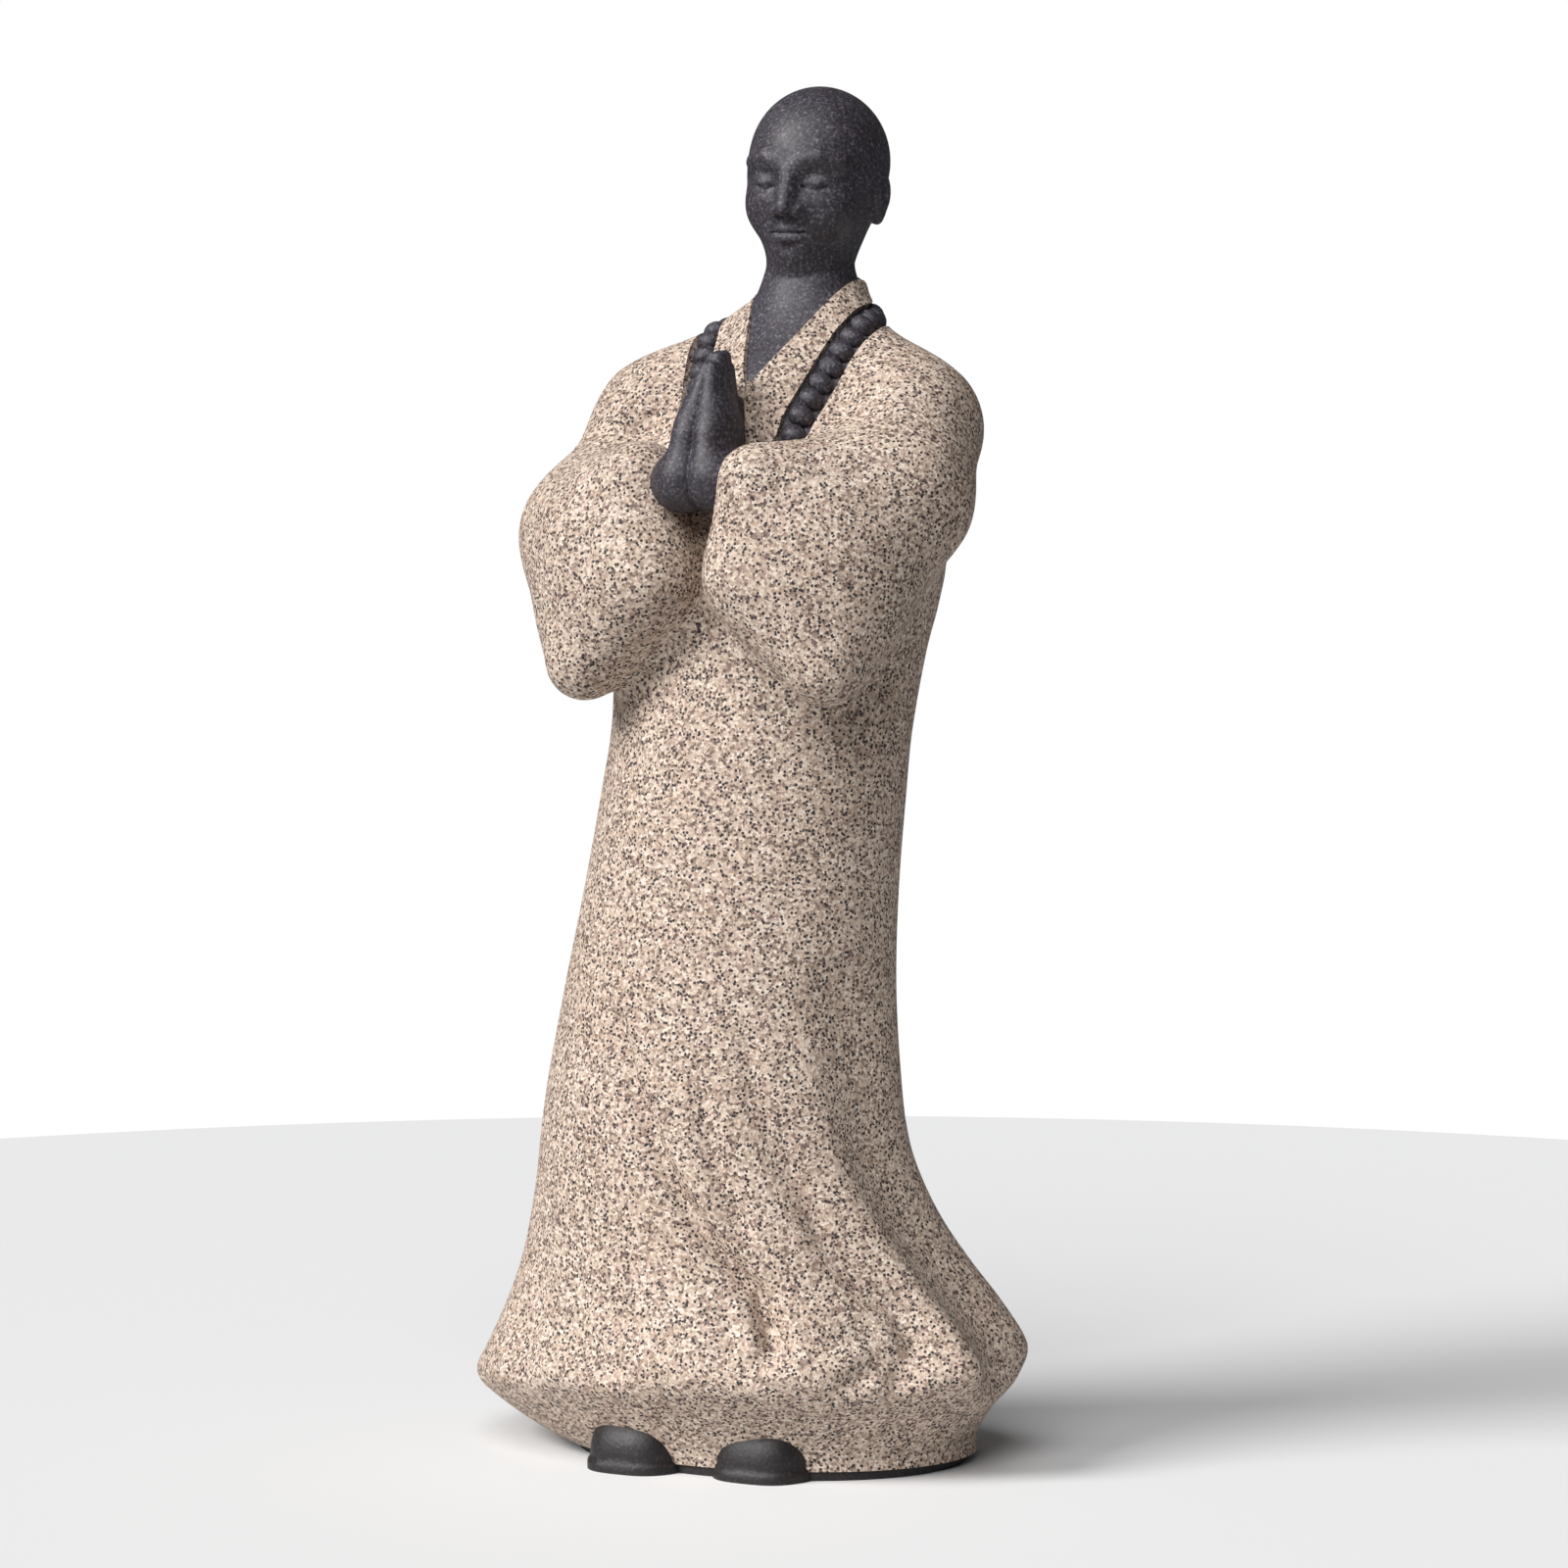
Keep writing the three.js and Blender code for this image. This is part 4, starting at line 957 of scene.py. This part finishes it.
def neckline_space():
    """The space above the neckline, between the V's two edges and the slant up to the collar."""
    reach, least_spread = 60, 0.01
    x, y, z = V_POINT
    rise = (COLLAR_BACK_Z - z) / (COLLAR_BACK_Y - y)
    top = z + V_STEEPNESS * reach
    shape = bmesh.new()
    sections = []
    for section_y, bottom in ((y - reach, z), (y, z), (y + reach, z + rise * reach)):
        spread = max((bottom - z) / V_STEEPNESS, least_spread)
        corners = ((x - spread, bottom), (x + spread, bottom), (x + reach, top), (x - reach, top))
        sections.append([shape.verts.new((cx, section_y, cz)) for cx, cz in corners])
    for a, b in zip(sections, sections[1:]):
        for n in range(4):
            shape.faces.new((a[n], a[(n + 1) % 4], b[(n + 1) % 4], b[n]))
    shape.faces.new(sections[0][::-1])
    shape.faces.new(sections[-1])
    shape.verts.index_update()
    bmesh.ops.recalc_face_normals(shape, faces=shape.faces)
    return solid_of_bmesh("neckline space", shape, GLAZE)


def string_curve():
    """Points along the closed bead string, as it lies on the robe."""
    left = np.array(STRING_POINTS, float)
    right = left[1:][::-1] * (-1, 1, 1) + (2 * STRING_MIDDLE_X, 0, 0)
    knots = settled(gown, np.vstack([left, [STRING_LOW], right]).T, rounds=4).T
    samples = []
    for n in range(len(knots)):
        p0, p1, p2, p3 = (knots[(n + k) % len(knots)] for k in (-1, 0, 1, 2))
        for t in np.linspace(0, 1, STRING_STEPS, endpoint=False):
            a, b, c = 2 * p1, p2 - p0, 2 * p0 - 5 * p1 + 4 * p2 - p3
            samples.append((a + b * t + c * t * t + (3 * p1 - 3 * p2 + p3 - p0) * t**3) / 2)
    return np.array(samples)


def evenly(samples, count):
    """Points spaced evenly along a closed line, and its direction at each."""
    ends = np.roll(samples, -1, axis=0)
    lengths = np.concatenate([[0], np.cumsum(np.linalg.norm(ends - samples, axis=1))])
    closed = np.vstack([samples, samples[:1]])
    where = np.arange(count) * lengths[-1] / count
    points = np.stack([np.interp(where, lengths, closed[:, k]) for k in range(3)], 1)
    direction = np.roll(points, -1, axis=0) - np.roll(points, 1, axis=0)
    return points, direction / np.linalg.norm(direction, axis=1)[:, None]


def outward(points):
    """The way out of the robe at each point."""
    slope = slope_of(gown, points.T).T
    return slope / np.linalg.norm(slope, axis=1)[:, None]


def string_bed(samples):
    """The channel that the beads lie in, as a closed tube along the string."""
    rings, sides = 150, 12
    points, direction = evenly(samples, rings)
    up = outward(points)
    side = np.cross(direction, up)
    side /= np.linalg.norm(side, axis=1)[:, None]
    up = np.cross(side, direction)
    angles = np.arange(sides) * 2 * math.pi / sides
    offset = side[:, None] * np.cos(angles)[:, None] + up[:, None] * np.sin(angles)[:, None]
    tube = (points[:, None] + offset * STRING_BED_WIDTH / 2).reshape(-1, 3)
    faces = []
    for r in range(rings):
        after = (r + 1) % rings
        for s in range(sides):
            t = (s + 1) % sides
            faces.append((r * sides + s, after * sides + s, after * sides + t, r * sides + t))
    return solid("string bed", tube.tolist(), faces, GLAZE)


def beads(samples):
    """Two sets of beads, every other one in each, so that the beads of a set don't touch."""
    length = np.linalg.norm(np.roll(samples, -1, axis=0) - samples, axis=1).sum()
    count = 2 * round(length / BEAD_PITCH / 2)
    points, direction = evenly(samples, count)
    up = outward(points)
    made = []
    for start in (0, 1):
        shape = bmesh.new()
        for n in range(start, count, 2):
            along = Vector(direction[n])
            out = Vector(up[n])
            across = along.cross(out).normalized()
            turn = Matrix((across, along, across.cross(along))).transposed().to_4x4()
            size = Matrix.Diagonal((BEAD_ACROSS, BEAD_PITCH * BEAD_ALONG / BEAD_WIDTH, BEAD_OUTWARD, 1))
            move = Matrix.Translation(Vector(points[n]) + out * BEAD_LIFT)
            bmesh.ops.create_uvsphere(
                shape, u_segments=20, v_segments=12, radius=BEAD_WIDTH / 2, matrix=move @ turn @ size
            )
        made.append(solid_of_bmesh("beads", shape, CLAY))
    return made


def foot_ring():
    """The disc that the figure stands on, set in from the turned-in cloth at floor height."""
    _, _, rx, ry = ROBE_TUCK(np.array([0.0]))[:, 0]
    shape = bmesh.new()
    depth = 2 * FOOT_RING_HEIGHT
    bmesh.ops.create_cone(shape, cap_ends=True, segments=128, radius1=1, radius2=1, depth=depth)
    bmesh.ops.scale(shape, vec=(rx - FOOT_RING_INSET, ry - FOOT_RING_INSET, 1), verts=shape.verts)
    bmesh.ops.translate(shape, vec=(0, 0, FOOT_RING_HEIGHT), verts=shape.verts)
    return solid_of_bmesh("foot ring", shape, CLAY)


# The sculpted forms of bare clay: a name, a field, the two corners of a box round it, and a grid cell
CLAY_FORMS = [
    ("chest", chest, (-26, -27, 165), (26, 30, 226), CHEST_CELL),
    ("head", head_and_neck, (-14, -10, 179), (20, 32, 244), HEAD_CELL),
    ("hands", hands, (-18, -46, 156), (18, -10, 204), HAND_CELL),
    ("shoes", shoes, (-24, -42, -4), (24, 0, 14), SHOE_CELL),
]


def statuette():
    """The robe, cut back at its foot, neckline and bead string, with the bare clay fused to it."""
    string = string_curve()
    made = solid_of_field("monk", closed_gown, (-70, -60, -7), (70, 56, 216), ROBE_CELL, GLAZE)
    for cut in (space_below(FOOT_RING_HEIGHT), neckline_space(), string_bed(string)):
        combined(made, cut, "DIFFERENCE")
    clay = [solid_of_field(*form, CLAY) for form in CLAY_FORMS]
    for form in (*clay, foot_ring(), *beads(string)):
        combined(made, form, "UNION")
    return combined(made, space_below(0), "DIFFERENCE")


SHARP_ANGLE = math.radians(40)
monk = statuette()
monk.name = monk.data.name = "monk"
monk.data.transform(Matrix.Scale(MM, 4))
monk.data.shade_smooth()
monk.data.set_sharp_from_angle(angle=SHARP_ANGLE)
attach(monk, "root")
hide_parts("monk_statuette")


# Stage: a pale floor, soft light from the left and the front, and a camera at the photograph's angle
FLOOR_TONE = 0.7
SKY = (0.95, 0.97, 1.0, 1.0)
SKY_STRENGTH = 0.1


def add_floor():
    radius, sides = 0.45, 128
    angles = [2 * math.pi * n / sides for n in range(sides)]
    mesh = bpy.data.meshes.new("floor")
    mesh.from_pydata([(radius * math.cos(a), radius * math.sin(a), 0) for a in angles], [], [range(sides)])
    material, _, _, shader = new_material("pale floor", roughness=0.9)
    shader.inputs["Base Color"].default_value = grey(FLOOR_TONE)
    mesh.materials.append(material)
    floor = linked("floor", mesh)


def way_out(azimuth, elevation):
    """The way out from the figure, in radians. Its azimuth is counted from -Y towards +X."""
    level = math.cos(elevation)
    return Vector((math.sin(azimuth) * level, -math.cos(azimuth) * level, math.sin(elevation)))


def looking_against(way):
    """The turn that makes a lamp or camera look back along a way."""
    return (-way).to_track_quat("-Z", "Y").to_euler()


def add_sun(name, azimuth, elevation, softness, strength):
    """A sun, in degrees. Its azimuth is counted from the camera's towards the viewer's right."""
    light = bpy.data.lights.new(name, "SUN")
    light.energy = strength
    light.angle = math.radians(softness)
    way = way_out(VIEW_AZIMUTH + math.radians(azimuth), math.radians(elevation))
    linked(name, light).rotation_euler = looking_against(way)


def add_world():
    """A dim cool sky for the light, and plain white where the camera sees it."""
    world = bpy.data.worlds.new("studio")
    world.use_nodes = True
    nodes, links = world.node_tree.nodes, world.node_tree.links
    soft = nodes["Background"]
    soft.inputs["Color"].default_value = SKY
    soft.inputs["Strength"].default_value = SKY_STRENGTH
    white = nodes.new("ShaderNodeBackground")
    white.inputs["Color"].default_value = WHITE
    either = nodes.new("ShaderNodeMixShader")
    links.new(nodes.new("ShaderNodeLightPath").outputs["Is Camera Ray"], either.inputs["Fac"])
    links.new(soft.outputs["Background"], either.inputs[1])
    links.new(white.outputs["Background"], either.inputs[2])
    links.new(either.outputs["Shader"], nodes["World Output"].inputs["Surface"])
    bpy.context.scene.world = world


def add_camera():
    camera = bpy.data.cameras.new("camera")
    camera.lens = LENS
    camera.sensor_width = SENSOR
    made = linked("camera", camera)
    back = way_out(VIEW_AZIMUTH, VIEW_ELEVATION)
    aside_x, aside_y = VIEW_ASIDE * math.cos(VIEW_AZIMUTH), VIEW_ASIDE * math.sin(VIEW_AZIMUTH)
    made.location = Vector((aside_x, aside_y, VIEW_HEIGHT)) + back * VIEW_DISTANCE
    made.rotation_euler = looking_against(back)
    bpy.context.scene.camera = made


add_floor()
add_sun("key", azimuth=-63, elevation=36, softness=26, strength=3.5)
add_sun("front", azimuth=-16, elevation=48, softness=40, strength=1.9)
add_world()
add_camera()
bpy.context.scene.view_settings.view_transform = "Standard"
